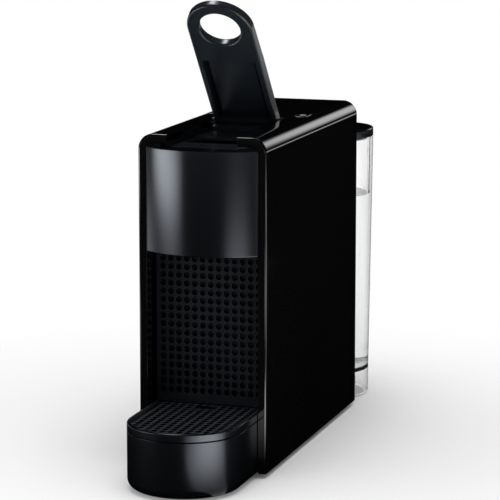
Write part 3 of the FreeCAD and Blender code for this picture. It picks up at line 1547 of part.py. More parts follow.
def valve_spring():
    """A coil between the valve's head and the ring of its cage."""
    wire = number("size.spring_wire") / 2
    radius = number("size.spring_radius")
    low = number(f"{VALVE_HEAD} + size.valve_head_thickness + size.running_gap") + wire
    high = number(f"{VALVE_CAGE_TOP} - size.valve_cage_ring - size.running_gap") - wire
    helix = Part.makeHelix((high - low) / number("size.spring_turns"), high - low, radius)
    square = ((-1, -1), (1, -1), (1, 1), (-1, 1), (-1, -1))
    section = Part.makePolygon([Vector(radius + wire * out, 0, wire * up) for out, up in square])
    piece = shaped(Part.Wire(helix).makePipeShell([section], True, True))
    piece.Placement.Base = Vector(0, number(VALVE_Y), low)
    return node("valve_spring", piece)


# Pump, heater and electrics

def pump_body():
    """A vibration pump's barrel, stepped down to a neck and a port at each end."""
    length = "size.pump_length"
    profile = [
        ("0", "-size.port_length"),
        ("size.port_radius", "-size.port_length"),
        ("size.port_radius", "0"),
        ("size.pump_neck", "0"),
        ("size.pump_neck", "size.pump_neck_length"),
        ("size.pump_radius", "size.pump_neck_length"),
        ("size.pump_radius", f"{length} - size.pump_neck_length"),
        ("size.pump_neck", f"{length} - size.pump_neck_length"),
        ("size.pump_neck", length),
        ("size.port_radius", length),
        ("size.port_radius", f"{length} + size.port_length"),
        ("0", f"{length} + size.port_length"),
    ]
    return node("pump_body", turned("y", PUMP_FRONT, ("size.pump_side", "size.pump_height"), profile))


def pump_coil():
    """The coil block round the barrel."""
    block = rounded_rectangle("size.pump_side - size.coil_half", "size.pump_side + size.coil_half",
                              COIL_BOTTOM, f"{COIL_BOTTOM} + 2 * size.coil_half", "size.coil_corner")
    barrel = ("size.pump_side", "size.pump_height", "size.pump_radius")
    body = new_body()
    prism(body, "Pad", "XZ", COIL_FRONT, COIL_BACK, [block], [barrel])
    return node("pump_coil", body)


def pump_bracket():
    """A folded cradle under the coil."""
    inner_low = "(size.pump_side - size.coil_half)"
    inner_high = "(size.pump_side + size.coil_half)"
    outer_low = f"({inner_low} - size.bracket_arm)"
    outer_high = f"({inner_high} + size.bracket_arm)"
    bottom = f"({COIL_BOTTOM} - size.bracket_thickness)"
    arm_top = f"({COIL_BOTTOM} + size.bracket_rise)"
    profile = [
        (outer_low, bottom),
        (outer_high, bottom),
        (outer_high, arm_top),
        (inner_high, arm_top),
        (inner_high, COIL_BOTTOM),
        (inner_low, COIL_BOTTOM),
        (inner_low, arm_top),
        (outer_low, arm_top),
    ]
    body = new_body()
    prism(body, "Pad", "XZ", COIL_FRONT, COIL_BACK, [profile])
    return node("pump_bracket", body)


def pump_mounts():
    """Soft pads between the cradle and the base plate."""
    middle = f"{COIL_FRONT} + size.coil_length / 2"
    pads = []
    for side in ("-", "+"):
        place = (f"size.pump_side {side} size.mount_side", middle)
        pads.append(rod("z", BASE_TOP, f"{COIL_BOTTOM} - size.bracket_thickness", place, "size.mount_radius"))
    return node("pump_mounts", group(*pads))


def flow_meter():
    """A flat turbine case, with its inlet at the side and its outlet on top."""
    centre = "(-size.meter_side)"
    case = rod("z", BASE_TOP, METER_TOP, (centre, METER_Y), "size.meter_radius")
    outlet = rod("z", METER_TOP, f"{METER_TOP} + size.meter_port_height",
                 (centre, f"{METER_Y} + size.meter_port"), "size.port_radius")
    inlet_start = f"({centre} + size.meter_radius - size.overcut)"
    inlet = rod("x", inlet_start, f"{inlet_start} + size.meter_inlet_length",
                (METER_Y, INLET_Z), "size.port_radius")
    return node("flow_meter", fuse(case, outlet, inlet))


def suction_hose():
    end = "(size.meter_radius - size.meter_side - size.overcut + size.meter_inlet_length)"
    points = [("0", INLET_FRONT, INLET_Z), ("0", METER_Y, INLET_Z), (end, METER_Y, INLET_Z)]
    return node("suction_hose", hose(points, number("size.hose_bend")))


def pump_hose():
    riser_y = f"{METER_Y} + size.meter_port"
    points = [
        ("-size.meter_side", riser_y, f"{METER_TOP} + size.meter_port_height"),
        ("-size.meter_side", riser_y, "size.pump_height"),
        ("size.pump_side", riser_y, "size.pump_height"),
        ("size.pump_side", f"{PUMP_BACK} + size.port_length", "size.pump_height"),
    ]
    return node("pump_hose", hose(points, number("size.hose_bend")))


def pressure_hose():
    riser_y = f"{PUMP_FRONT} - size.port_length - size.riser_setback"
    level = f"{HEATER_BOTTOM} - size.hose_drop"
    points = [
        ("size.pump_side", f"{PUMP_FRONT} - size.port_length", "size.pump_height"),
        ("size.pump_side", riser_y, "size.pump_height"),
        ("size.pump_side", riser_y, level),
        ("size.pump_side", NIPPLE_Y, level),
        ("size.pump_side", NIPPLE_Y, f"{HEATER_BOTTOM} - size.nipple_length"),
    ]
    return node("pressure_hose", hose(points, number("size.hose_bend")))


def thermoblock():
    """The cast water heater; the cage's feed tube slides in its bore."""
    half = f"({PLATE_INNER} - size.running_gap)"
    boss = rounded_rectangle("-size.heater_boss", "size.heater_boss", f"{BREW} - size.heater_boss",
                             f"{BREW} + size.heater_boss", "size.heater_corner")
    level = f"{BREW} + size.heater_boss"
    terminals = [(f"{side} * size.terminal_side", level, "size.terminal_radius") for side in ("-1", "1")]
    body = new_body()
    block = rounded_rectangle(f"-{half}", half, HEATER_BOTTOM, HEATER_TOP, "size.heater_corner")
    prism(body, "Pad", "XZ", HEATER_FRONT, HEATER_BACK, [block])
    boss_end = f"({HEATER_BACK} + size.heater_boss_length)"
    prism(body, "Pad", "XZ", HEATER_BACK, boss_end, [boss], terminals)
    prism(body, "Pad", "XY", f"{HEATER_BOTTOM} - size.nipple_length", f"{HEATER_BOTTOM} + size.overcut", [],
          [("size.pump_side", NIPPLE_Y, "size.port_radius")])
    prism(body, "Pocket", "XZ", f"{HEATER_FRONT} - size.overcut", f"{boss_end} - size.heater_bore_end", [],
          [("0", BREW, "size.feed_tube + size.loose_gap")])
    return node("thermoblock", body)


def thermal_cutout():
    """A round switch on the heater, with two blade terminals."""
    middle = f"({HEATER_FRONT} + size.cutout_setback)"
    top = f"({HEATER_TOP} + size.cutout_height)"
    disc = rod("z", HEATER_TOP, top, ("0", middle), "size.cutout_radius")
    tabs = []
    for side in ("-1", "1"):
        centre = f"({side} * size.tab_side)"
        tabs.append(box(f"{centre} - size.tab_thickness / 2", f"{centre} + size.tab_thickness / 2",
                        f"{middle} - size.tab_half", f"{middle} + size.tab_half",
                        top, f"{top} + size.tab_height"))
    return node("thermal_cutout", fuse(disc, *tabs))


def control_board():
    """The mains board beside the chassis, with its relay, capacitor and controller."""
    face = f"(-{BOARD_X} - size.board_thickness)"

    def on_board(depth, inset, length, rise, height):
        front = f"({CONTROL_FRONT} + size.{inset})"
        low = f"({CONTROL_BOTTOM} + size.{rise})"
        return box(f"{face} - size.{depth}", face, front, f"{front} + size.{length}",
                   low, f"{low} + size.{height}")

    board = box(face, f"-{BOARD_X}", CONTROL_FRONT, f"{CONTROL_FRONT} + size.control_length", CONTROL_BOTTOM,
                CONTROL_TOP)
    relay = on_board("relay_depth", "relay_inset", "relay_length", "relay_rise", "relay_height")
    chip = on_board("chip_depth", "chip_inset", "chip_length", "chip_rise", "chip_height")
    place = (f"{CONTROL_FRONT} + size.capacitor_inset", f"{CONTROL_BOTTOM} + size.capacitor_rise")
    capacitor = rod("x", f"{face} - size.capacitor_length", face, place, "size.capacitor_radius")
    return node("control_board", fuse(board, relay, capacitor, chip))


def board_standoffs():
    height = f"{CONTROL_TOP} - size.standoff_drop"
    posts = []
    for place in (f"{CONTROL_FRONT} + size.standoff_inset",
                  f"{CONTROL_FRONT} + size.control_length - size.standoff_inset"):
        posts.append(rod("x", f"-{BOARD_X}", f"-{PLATE_OUTER}", (place, height), "size.standoff_radius"))
    return node("board_standoffs", group(*posts))


for panel_label, panel_side in (("left_side_panel", "-1"), ("right_side_panel", "1")):
    side_panel(panel_label, panel_side)
for plate_label, plate_side in (("left_chassis_plate", "-1"), ("right_chassis_plate", "1")):
    chassis_plate(plate_label, plate_side)
for cam_label, cam_side in (("left_cam_plate", "-1"), ("right_cam_plate", "1")):
    cam_plate(cam_label, cam_side)
for button_label, button_side in (("espresso_button", "1"), ("lungo_button", "-1")):
    button(button_label, button_side)
for make in (
    top_cover, rear_cover, rear_screws, base_plate, rubber_feet, cord_gland, tank_dock, dock_seal,
    front_panel, outlet_plate, coffee_spout, channel_floor, chassis_spacers, brew_head, extraction_plate,
    capsule_cage, cage_seal, piercing_needles, cage_cross_pin, injector_tube, lever, lever_underside_cover,
    lever_shaft, capsule_container, drip_tray, drip_grid, button_board, button_switches,
    tank_body, tank_floor, tank_lid, valve_poppet, valve_seal, valve_cage, valve_spring,
    pump_body, pump_coil, pump_bracket, pump_mounts, flow_meter, suction_hose, pump_hose, pressure_hose,
    thermoblock, thermal_cutout, control_board, board_standoffs,
):
    make()
doc.recompute()

for item in doc.Objects:
    if {"Invalid", "Error"} & set(item.State):
        raise RuntimeError(f"{item.Label} did not build: {item.State}")
for label, piece in nodes.items():
    if piece.Shape.isNull() or not piece.Shape.isValid():
        raise RuntimeError(f"{label} has no valid shape")
    if not piece.Shape.Solids:
        raise RuntimeError(f"{label} holds no solid")

os.makedirs("parts", exist_ok=True)
for label, piece in nodes.items():
    piece.Shape.exportStep(f"parts/{label}.step")
print(len(nodes), "sub-parts written")
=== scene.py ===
# %% [markdown]
# # A pod coffee machine, dressed for a studio picture
#
# The machine's solid pieces come from its CAD model, already at their real size and place in
# metres. This lesson gives each of them the finish of the real one, adds the few things that CAD
# leaves out, and sets up the picture: camera, floor and lamps.

# %% Load the solid pieces
import json
import math

import bpy
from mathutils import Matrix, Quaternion, Vector

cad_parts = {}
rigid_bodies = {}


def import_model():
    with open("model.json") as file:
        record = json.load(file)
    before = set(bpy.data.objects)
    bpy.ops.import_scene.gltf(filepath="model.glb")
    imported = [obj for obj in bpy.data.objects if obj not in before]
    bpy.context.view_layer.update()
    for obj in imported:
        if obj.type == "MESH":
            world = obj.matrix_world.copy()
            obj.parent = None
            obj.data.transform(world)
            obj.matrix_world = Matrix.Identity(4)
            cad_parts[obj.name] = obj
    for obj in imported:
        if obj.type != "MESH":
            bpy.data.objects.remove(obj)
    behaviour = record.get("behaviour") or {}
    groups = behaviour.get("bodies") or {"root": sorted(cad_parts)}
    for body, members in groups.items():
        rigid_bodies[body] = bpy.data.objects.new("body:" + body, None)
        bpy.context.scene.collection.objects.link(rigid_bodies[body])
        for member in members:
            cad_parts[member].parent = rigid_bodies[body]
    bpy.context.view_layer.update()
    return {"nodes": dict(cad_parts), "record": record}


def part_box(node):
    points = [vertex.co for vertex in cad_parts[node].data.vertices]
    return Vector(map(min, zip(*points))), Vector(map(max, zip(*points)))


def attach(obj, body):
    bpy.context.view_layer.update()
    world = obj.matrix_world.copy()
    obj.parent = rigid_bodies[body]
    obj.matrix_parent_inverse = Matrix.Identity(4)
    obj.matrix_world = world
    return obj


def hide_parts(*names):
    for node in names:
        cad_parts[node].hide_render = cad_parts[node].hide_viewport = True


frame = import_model()
nodes = frame["nodes"]
bodies = frame["record"]["behaviour"]["bodies"]
body_of = {name: body for body, names in bodies.items() for name in names}
MM = 0.001

# %% [markdown]
# ## The camera
#
# The picture was taken with a long lens from the front, turned a little to the machine's right side
# and raised a little. A long lens far away keeps the body's upright edges almost parallel, as they
# are there. The angles and the distance were worked out from the body's corners, so the outlines
# fall in the same places.

# %% Camera
CAMERA_TURN = math.radians(17.52)
CAMERA_RISE = math.radians(9.93)
CAMERA_DISTANCE = 1.5797
CAMERA_TARGET = Vector((-0.0001, -0.006, 0.1199))
CAMERA_LENS = 182.76

toward_camera = Vector((
    math.sin(CAMERA_TURN) * math.cos(CAMERA_RISE),
    -math.cos(CAMERA_TURN) * math.cos(CAMERA_RISE),
    math.sin(CAMERA_RISE),
))
bpy.ops.object.camera_add(
    location=CAMERA_TARGET + toward_camera * CAMERA_DISTANCE,
    rotation=(math.pi / 2 - CAMERA_RISE, 0, CAMERA_TURN),
)
camera = bpy.context.object
camera.name = "camera"
camera.data.lens = CAMERA_LENS
camera.data.clip_end = 10
bpy.context.scene.camera = camera
print("camera at", [round(value, 3) for value in camera.location])

# %% [markdown]
# ## One helper for shader nodes
#
# Every finish below is a small network of shader nodes. Adding a node, setting its values and
# linking its inputs is always the same work, so one function does it. Colours are written as on a
# paint card, in hex, and turned to the linear values that the renderer works with.

# %% Helpers for finishes
def linear(code):
    """An sRGB hex colour as linear red, green, blue and alpha."""
    channels = [int(code[place:place + 2], 16) / 255 for place in (1, 3, 5)]
    return [c / 12.92 if c <= 0.04045 else ((c + 0.055) / 1.055) ** 2.4 for c in channels] + [1.0]


def add(tree, kind, values=None, links=None, **settings):
    """A shader node with its settings, input values and incoming links."""
    made = tree.nodes.new(kind)
    for name, setting in settings.items():
        setattr(made, name, setting)
    for name, value in (values or {}).items():
        made.inputs[name].default_value = value
    for name, source in (links or {}).items():
        tree.links.new(source, made.inputs[name])
    return made


def new_finish(name):
    """An empty material, with its tree, its principled shader and the piece's own coordinates."""
    finish = bpy.data.materials.new(name)
    finish.use_nodes = True
    tree = finish.node_tree
    shader = tree.nodes["Principled BSDF"]
    place = add(tree, "ShaderNodeTexCoord").outputs["Object"]
    return finish, tree, shader, place


def dress(finish, *names):
    """Give CAD pieces a finish in place of the one they came with."""
    for name in names:
        nodes[name].data.materials.clear()
        nodes[name].data.materials.append(finish)
    print(finish.name, "on", len(names), "pieces")


# %% [markdown]
# ## Piano-black ABS
#
# The shell is ABS, moulded in a polished tool. It is almost black, and nearly all that the eye sees
# of it is what it mirrors. A moulded gloss is never quite flat: it has a slight waviness some
# millimetres across, which bends the edges of reflections, and wiping leaves fine streaks that dull
# it a little. A flat colour with a low roughness would look like glass, so the waves are a faint
# bump and the streaks change the roughness.

# %% Piano-black finish
ABS_IOR = 1.53

piano_black, tree, shader, place = new_finish("piano_black_moulded_abs")
# Waves of 9 mm give the gloss its slightly liquid look.
waves = add(tree, "ShaderNodeTexNoise", {"Scale": 1 / (9 * MM), "Detail": 1.0}, {"Vector": place})
bump = add(tree, "ShaderNodeBump", {"Strength": 0.02, "Distance": 0.4 * MM},
           {"Height": waves.outputs["Fac"]})
# Wiped streaks are about 1 mm wide and run along the machine.
wiping = add(tree, "ShaderNodeMapping", {"Scale": (1.0, 0.06, 1.0)}, {"Vector": place})
streaks = add(tree, "ShaderNodeTexNoise", {"Scale": 1 / MM, "Detail": 2.0},
              {"Vector": wiping.outputs["Vector"]})
dulled = add(tree, "ShaderNodeMapRange", {"To Min": 0.07, "To Max": 0.11},
             {"Value": streaks.outputs["Fac"]})
tree.links.new(dulled.outputs["Result"], shader.inputs["Roughness"])
tree.links.new(bump.outputs["Normal"], shader.inputs["Normal"])
shader.inputs["Base Color"].default_value = linear("#060607")
shader.inputs["IOR"].default_value = ABS_IOR
dress(piano_black, "left_side_panel", "right_side_panel", "top_cover", "espresso_button",
      "lungo_button")

# %% [markdown]
# ## Satin ABS
#
# The front panel and the tank's lid come from a finely honed tool. They spread a reflection into a
# soft glow with a cool tint, and seen close they have a grain of some tenths of a millimetre. The
# grain is drawn at half a millimetre, which is coarser than the real one, because a finer one would
# not show.

# %% Satin finish
COOL_TINT = linear("#e9f2ff")

satin_black, tree, shader, place = new_finish("satin_black_moulded_abs")
grain = add(tree, "ShaderNodeTexNoise", {"Scale": 1 / (0.5 * MM), "Detail": 2.0}, {"Vector": place})
spread = add(tree, "ShaderNodeMapRange", {"To Min": 0.17, "To Max": 0.22},
             {"Value": grain.outputs["Fac"]})
bump = add(tree, "ShaderNodeBump", {"Strength": 0.05, "Distance": 0.05 * MM},
           {"Height": grain.outputs["Fac"]})
tree.links.new(spread.outputs["Result"], shader.inputs["Roughness"])
tree.links.new(bump.outputs["Normal"], shader.inputs["Normal"])
shader.inputs["Base Color"].default_value = linear("#060709")
shader.inputs["IOR"].default_value = ABS_IOR
shader.inputs["Specular Tint"].default_value = COOL_TINT
dress(satin_black, "front_panel", "tank_lid")

# %% [markdown]
# ## Blasted ABS
#
# The drip tray gets wet and is washed, so it comes from a more coarsely blasted tool. Its glow is
# wider and fainter than the front panel's, and the grain is stronger.

# %% Blasted finish
blasted_black, tree, shader, place = new_finish("blasted_black_moulded_abs")
grain = add(tree, "ShaderNodeTexNoise", {"Scale": 1 / (0.6 * MM), "Detail": 2.0}, {"Vector": place})
spread = add(tree, "ShaderNodeMapRange", {"To Min": 0.2, "To Max": 0.26},
             {"Value": grain.outputs["Fac"]})
bump = add(tree, "ShaderNodeBump", {"Strength": 0.08, "Distance": 0.05 * MM},
           {"Height": grain.outputs["Fac"]})
tree.links.new(spread.outputs["Result"], shader.inputs["Roughness"])
tree.links.new(bump.outputs["Normal"], shader.inputs["Normal"])
shader.inputs["Base Color"].default_value = linear("#08090b")
shader.inputs["IOR"].default_value = ABS_IOR
shader.inputs["Specular Tint"].default_value = COOL_TINT
dress(blasted_black, "drip_tray")

# %% [markdown]
# ## Slate ABS
#
# The lever and the channel below it are touched most. They are moulded in a lighter, slightly blue
# grey, which hides finger marks. Their grain is as fine as the front panel's, and handling leaves
# faint cloudy patches a few centimetres wide, so the tone drifts a little between two greys.

# %% Slate finish
# The sockets of a Mix node that mixes colours share their names with others, so they go by number.
FACTOR, FIRST, SECOND, MIXED = 0, 6, 7, 2

slate, tree, shader, place = new_finish("slate_moulded_abs")
grain = add(tree, "ShaderNodeTexNoise", {"Scale": 1 / (0.5 * MM), "Detail": 2.0}, {"Vector": place})
handled = add(tree, "ShaderNodeTexNoise", {"Scale": 1 / (25 * MM), "Detail": 3.0},
              {"Vector": place})
tone = add(tree, "ShaderNodeMix", {FIRST: linear("#161b20"), SECOND: linear("#1b2025")},
           {FACTOR: handled.outputs["Fac"]}, data_type="RGBA")
spread = add(tree, "ShaderNodeMapRange", {"To Min": 0.2, "To Max": 0.26},
             {"Value": grain.outputs["Fac"]})
bump = add(tree, "ShaderNodeBump", {"Strength": 0.06, "Distance": 0.05 * MM},
           {"Height": grain.outputs["Fac"]})
tree.links.new(tone.outputs[MIXED], shader.inputs["Base Color"])
tree.links.new(spread.outputs["Result"], shader.inputs["Roughness"])
tree.links.new(bump.outputs["Normal"], shader.inputs["Normal"])
shader.inputs["IOR"].default_value = ABS_IOR
dress(slate, "lever", "lever_underside_cover", "channel_floor")

# %% [markdown]
# ## Grid slate with painted light and shade
#
# The grid is moulded from the same slate as the lever, but its top is painted a paler grey, which
# stands for the light that the level top catches. Rubbing by cups varies that tone at random in
# marks only some millimetres wide, so their noise is finer than the lever's clouds. A dark ring
# round each hole is painted shade at the holes, and where it fades, the crossings of the bars stay
# palest, as painted highlights. The painted shade follows the holes' pitch: a point's place within
# its cell gives its distance from the cell's middle, and the painted shade lies near that middle.

# %% Grid slate finish with painted light and shade
HOLE_PITCH = 5 * MM
ROW_INSET = 7 * MM
FIRST_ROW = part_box("drip_grid")[1][1] - ROW_INSET
CELL_MIDDLE = (0.5, 0.5, 0)
HOLE_SHADE_FULL, HOLE_SHADE_GONE = 0.42, 0.6

grid_slate_painted_light, tree, shader, place = new_finish("slate_abs_with_painted_light")
rubbed = add(tree, "ShaderNodeTexNoise", {"Scale": 1 / (6 * MM), "Detail": 4.0}, {"Vector": place})
# The pale bars stand for the light on the grid's level top; rubbing varies their tone at random.
bars = add(tree, "ShaderNodeMix", {FIRST: linear("#3a3f45"), SECOND: linear("#555b62")},
           {FACTOR: rubbed.outputs["Fac"]}, data_type="RGBA")
cells = add(tree, "ShaderNodeVectorMath",
            {1: (1 / HOLE_PITCH, 1 / HOLE_PITCH, 0), 2: (0.5, 0.5 - FIRST_ROW / HOLE_PITCH, 0)},
            {0: place}, operation="MULTIPLY_ADD")
inside = add(tree, "ShaderNodeVectorMath", None, {0: cells.outputs["Vector"]}, operation="FRACTION")
reach = add(tree, "ShaderNodeVectorMath", {1: CELL_MIDDLE}, {0: inside.outputs["Vector"]},
            operation="DISTANCE")
# Painted shade: dark near each hole, fading out so that the crossings of the bars stay palest, as
# painted highlights.
hole_shade = add(tree, "ShaderNodeMapRange", {"From Min": HOLE_SHADE_FULL, "From Max": HOLE_SHADE_GONE},
           {"Value": reach.outputs["Value"]})
tone = add(tree, "ShaderNodeMix", {FIRST: linear("#040506")},
           {FACTOR: hole_shade.outputs["Result"], SECOND: bars.outputs[MIXED]}, data_type="RGBA")
spread = add(tree, "ShaderNodeMapRange", {"To Min": 0.34, "To Max": 0.24},
             {"Value": rubbed.outputs["Fac"]})
tree.links.new(tone.outputs[MIXED], shader.inputs["Base Color"])
tree.links.new(spread.outputs["Result"], shader.inputs["Roughness"])
shader.inputs["IOR"].default_value = ABS_IOR
dress(grid_slate_painted_light, "drip_grid")

# %% [markdown]
# ## Charcoal ABS with dimples
#
# The wall behind the cup is moulded with a spark-eroded surface, which is rougher and a little
# greyer, and it is covered with dimples. The dimples are painted darker than the ridges between
# them, as painted shade in the hollows, and they are made rougher. The depth of a point behind the
# wall's face gives the painted shade, so every dimple has it. Two pegs carry the tray and stand out
# in front of the face, so the face lies a peg's length behind the box's front.

# %% Dimpled charcoal finish
PEG_LENGTH = 4 * MM
WALL_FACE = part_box("capsule_container")[0][1] + PEG_LENGTH
RIDGE_DEPTH = 0.2 * MM
DIMPLE_DEPTH = 1.6 * MM

dimpled, tree, shader, place = new_finish("spark_eroded_charcoal_abs")
pits = add(tree, "ShaderNodeTexNoise", {"Scale": 1 / (0.8 * MM), "Detail": 3.0}, {"Vector": place})
bump = add(tree, "ShaderNodeBump", {"Strength": 0.15, "Distance": 0.08 * MM},
           {"Height": pits.outputs["Fac"]})
sides = add(tree, "ShaderNodeSeparateXYZ", None, {"Vector": place})
# Painted shade in the dimples: the deeper a point lies behind the wall's face, the darker its tone.
depth = add(tree, "ShaderNodeMapRange",
            {"From Min": WALL_FACE + RIDGE_DEPTH, "From Max": WALL_FACE + DIMPLE_DEPTH},
            {"Value": sides.outputs["Y"]})
tone = add(tree, "ShaderNodeMix", {FIRST: linear("#12161b"), SECOND: linear("#010102")},
           {FACTOR: depth.outputs["Result"]}, data_type="RGBA")
worn = add(tree, "ShaderNodeMapRange", {"To Min": 0.32, "To Max": 0.65},
           {"Value": depth.outputs["Result"]})
tree.links.new(tone.outputs[MIXED], shader.inputs["Base Color"])
tree.links.new(worn.outputs["Result"], shader.inputs["Roughness"])
tree.links.new(bump.outputs["Normal"], shader.inputs["Normal"])
shader.inputs["Specular IOR Level"].default_value = 0.3
dress(dimpled, "capsule_container")
print("dimpled wall's face at", round(WALL_FACE / MM, 2), "mm")

# %% [markdown]
# ## Matte charcoal
#
# The back, the base and the pieces inside are moulded from the same charcoal without polish or
# blasting. Their eroded surface scatters light evenly and is slightly mottled, which a coarse grain
# of nearly a millimetre shows.

# %% Matte charcoal finish
charcoal, tree, shader, place = new_finish("matte_charcoal_moulded_abs")
pits = add(tree, "ShaderNodeTexNoise", {"Scale": 1 / (0.8 * MM), "Detail": 3.0}, {"Vector": place})
tone = add(tree, "ShaderNodeMix", {FIRST: linear("#131416"), SECOND: linear("#191a1d")},
           {FACTOR: pits.outputs["Fac"]}, data_type="RGBA")
spread = add(tree, "ShaderNodeMapRange", {"To Min": 0.44, "To Max": 0.56},
             {"Value": pits.outputs["Fac"]})
bump = add(tree, "ShaderNodeBump", {"Strength": 0.2, "Distance": 0.08 * MM},
           {"Height": pits.outputs["Fac"]})
tree.links.new(tone.outputs[MIXED], shader.inputs["Base Color"])
tree.links.new(spread.outputs["Result"], shader.inputs["Roughness"])
tree.links.new(bump.outputs["Normal"], shader.inputs["Normal"])
dress(charcoal, "outlet_plate", "coffee_spout", "rear_cover", "base_plate", "tank_dock",
      "brew_head", "button_switches", "pump_coil", "capsule_cage", "valve_cage")

# %% [markdown]
# ## Clear SAN
#
# The tank is SAN, a clear plastic moulded in a polished tool, with a refractive index of about
# 1.57. It lets nearly all light through and bends it at the rounded ends. A wall seen edge-on is
# thick and looks darker, so the angle of view gives the tone, which draws the tank's outline in
# grey. Moulding and drying leave a very faint haze that is uneven, so the roughness drifts a little
# over some centimetres.

# %% Clear finish
clear, tree, shader, place = new_finish("clear_moulded_san")
haze = add(tree, "ShaderNodeTexNoise", {"Scale": 1 / (20 * MM), "Detail": 2.0}, {"Vector": place})
spread = add(tree, "ShaderNodeMapRange", {"To Min": 0.0, "To Max": 0.02},
             {"Value": haze.outputs["Fac"]})
tree.links.new(spread.outputs["Result"], shader.inputs["Roughness"])
edge_on = add(tree, "ShaderNodeLayerWeight", {"Blend": 0.5})
outline = add(tree, "ShaderNodeMath", {1: 8.0}, {0: edge_on.outputs["Facing"]}, operation="POWER")
tone = add(tree, "ShaderNodeMix", {FIRST: linear("#fdfdfd"), SECOND: linear("#2a3036")},
           {FACTOR: outline.outputs[0]}, data_type="RGBA")
tree.links.new(tone.outputs[MIXED], shader.inputs["Base Color"])
shader.inputs["IOR"].default_value = 1.57
shader.inputs["Specular IOR Level"].default_value = 0.15
shader.inputs["Transmission Weight"].default_value = 1.0
dress(clear, "tank_body", "tank_floor")

# %% [markdown]
# ## Rubber
#
# Feet, seals, pump mounts and the gland at the back are moulded rubber. Rubber has a dusty, uneven
# black and hardly any gloss. A blotchy noise of a millimetre and a half gives both.

# %% Rubber finish
rubber, tree, shader, place = new_finish("black_moulded_rubber")
dust = add(tree, "ShaderNodeTexNoise", {"Scale": 1 / (1.5 * MM), "Detail": 4.0}, {"Vector": place})
tone = add(tree, "ShaderNodeMix", {FIRST: linear("#111111"), SECOND: linear("#1b1b1a")},
           {FACTOR: dust.outputs["Fac"]}, data_type="RGBA")
spread = add(tree, "ShaderNodeMapRange", {"To Min": 0.68, "To Max": 0.84},
             {"Value": dust.outputs["Fac"]})
bump = add(tree, "ShaderNodeBump", {"Strength": 0.2, "Distance": 0.05 * MM},
           {"Height": dust.outputs["Fac"]})
tree.links.new(tone.outputs[MIXED], shader.inputs["Base Color"])
tree.links.new(spread.outputs["Result"], shader.inputs["Roughness"])
tree.links.new(bump.outputs["Normal"], shader.inputs["Normal"])
dress(rubber, "rubber_feet", "cord_gland", "dock_seal", "pump_mounts", "cage_seal", "valve_seal")

# %% [markdown]
# ## Rolled stainless steel
#
# Plates, cams, shaft, pins and screws are stainless steel. Rolled sheet keeps fine lines along its
# length, which stretch a highlight. The lines are a noise of 0.4 mm that is drawn out twenty times.

# %% Steel finish
steel, tree, shader, place = new_finish("rolled_stainless_steel")
rolling = add(tree, "ShaderNodeMapping", {"Scale": (1.0, 0.05, 1.0)}, {"Vector": place})
lines = add(tree, "ShaderNodeTexNoise", {"Scale": 1 / (0.4 * MM), "Detail": 3.0},
            {"Vector": rolling.outputs["Vector"]})
tone = add(tree, "ShaderNodeMix", {FIRST: linear("#aeb0b2"), SECOND: linear("#c2c3c5")},
           {FACTOR: lines.outputs["Fac"]}, data_type="RGBA")
spread = add(tree, "ShaderNodeMapRange", {"To Min": 0.26, "To Max": 0.42},
             {"Value": lines.outputs["Fac"]})
bump = add(tree, "ShaderNodeBump", {"Strength": 0.08, "Distance": 0.03 * MM},
           {"Height": lines.outputs["Fac"]})
tree.links.new(tone.outputs[MIXED], shader.inputs["Base Color"])
tree.links.new(spread.outputs["Result"], shader.inputs["Roughness"])
tree.links.new(bump.outputs["Normal"], shader.inputs["Normal"])
shader.inputs["Metallic"].default_value = 1.0
dress(steel, "rear_screws", "left_chassis_plate", "right_chassis_plate", "chassis_spacers",
      "extraction_plate", "pump_bracket", "thermal_cutout", "lever_shaft", "left_cam_plate",
      "right_cam_plate", "piercing_needles", "cage_cross_pin", "injector_tube", "valve_spring")

# %% [markdown]
# ## Natural acetal
#
# Pump, flow meter and valve are acetal without pigment: an off-white, waxy plastic, whose tone
# drifts slowly where the melt flowed. A noise of 5 mm gives that drift to the colour and to the
# gloss.

# %% Acetal finish
acetal, tree, shader, place = new_finish("natural_moulded_acetal")
flow = add(tree, "ShaderNodeTexNoise", {"Scale": 1 / (5 * MM), "Detail": 2.0}, {"Vector": place})
tone = add(tree, "ShaderNodeMix", {FIRST: linear("#dddbd3"), SECOND: linear("#e8e7e1")},
           {FACTOR: flow.outputs["Fac"]}, data_type="RGBA")
spread = add(tree, "ShaderNodeMapRange", {"To Min": 0.36, "To Max": 0.46},
             {"Value": flow.outputs["Fac"]})
tree.links.new(tone.outputs[MIXED], shader.inputs["Base Color"])
tree.links.new(spread.outputs["Result"], shader.inputs["Roughness"])
dress(acetal, "pump_body", "flow_meter", "valve_poppet")

# %% [markdown]
# ## Silicone hose
#
# The hoses are extruded silicone, milky and slightly dull. The milkiness is uneven, in faint
# patches about 2 mm wide.

# %% Silicone finish
silicone, tree, shader, place = new_finish("extruded_silicone")
patches = add(tree, "ShaderNodeTexNoise", {"Scale": 1 / (2 * MM), "Detail": 1.0}, {"Vector": place})
tone = add(tree, "ShaderNodeMix", {FIRST: linear("#c3c7c8"), SECOND: linear("#d3d6d6")},
           {FACTOR: patches.outputs["Fac"]}, data_type="RGBA")
spread = add(tree, "ShaderNodeMapRange", {"To Min": 0.36, "To Max": 0.48},
             {"Value": patches.outputs["Fac"]})
tree.links.new(tone.outputs[MIXED], shader.inputs["Base Color"])
tree.links.new(spread.outputs["Result"], shader.inputs["Roughness"])
shader.inputs["Transmission Weight"].default_value = 0.2
dress(silicone, "suction_hose", "pump_hose", "pressure_hose")

# %% [markdown]
# ## Die-cast aluminium
#
# The thermoblock is a die casting. Its skin is grey and grainy, with crystals of about a
# millimetre, which cells of a Voronoi pattern show.

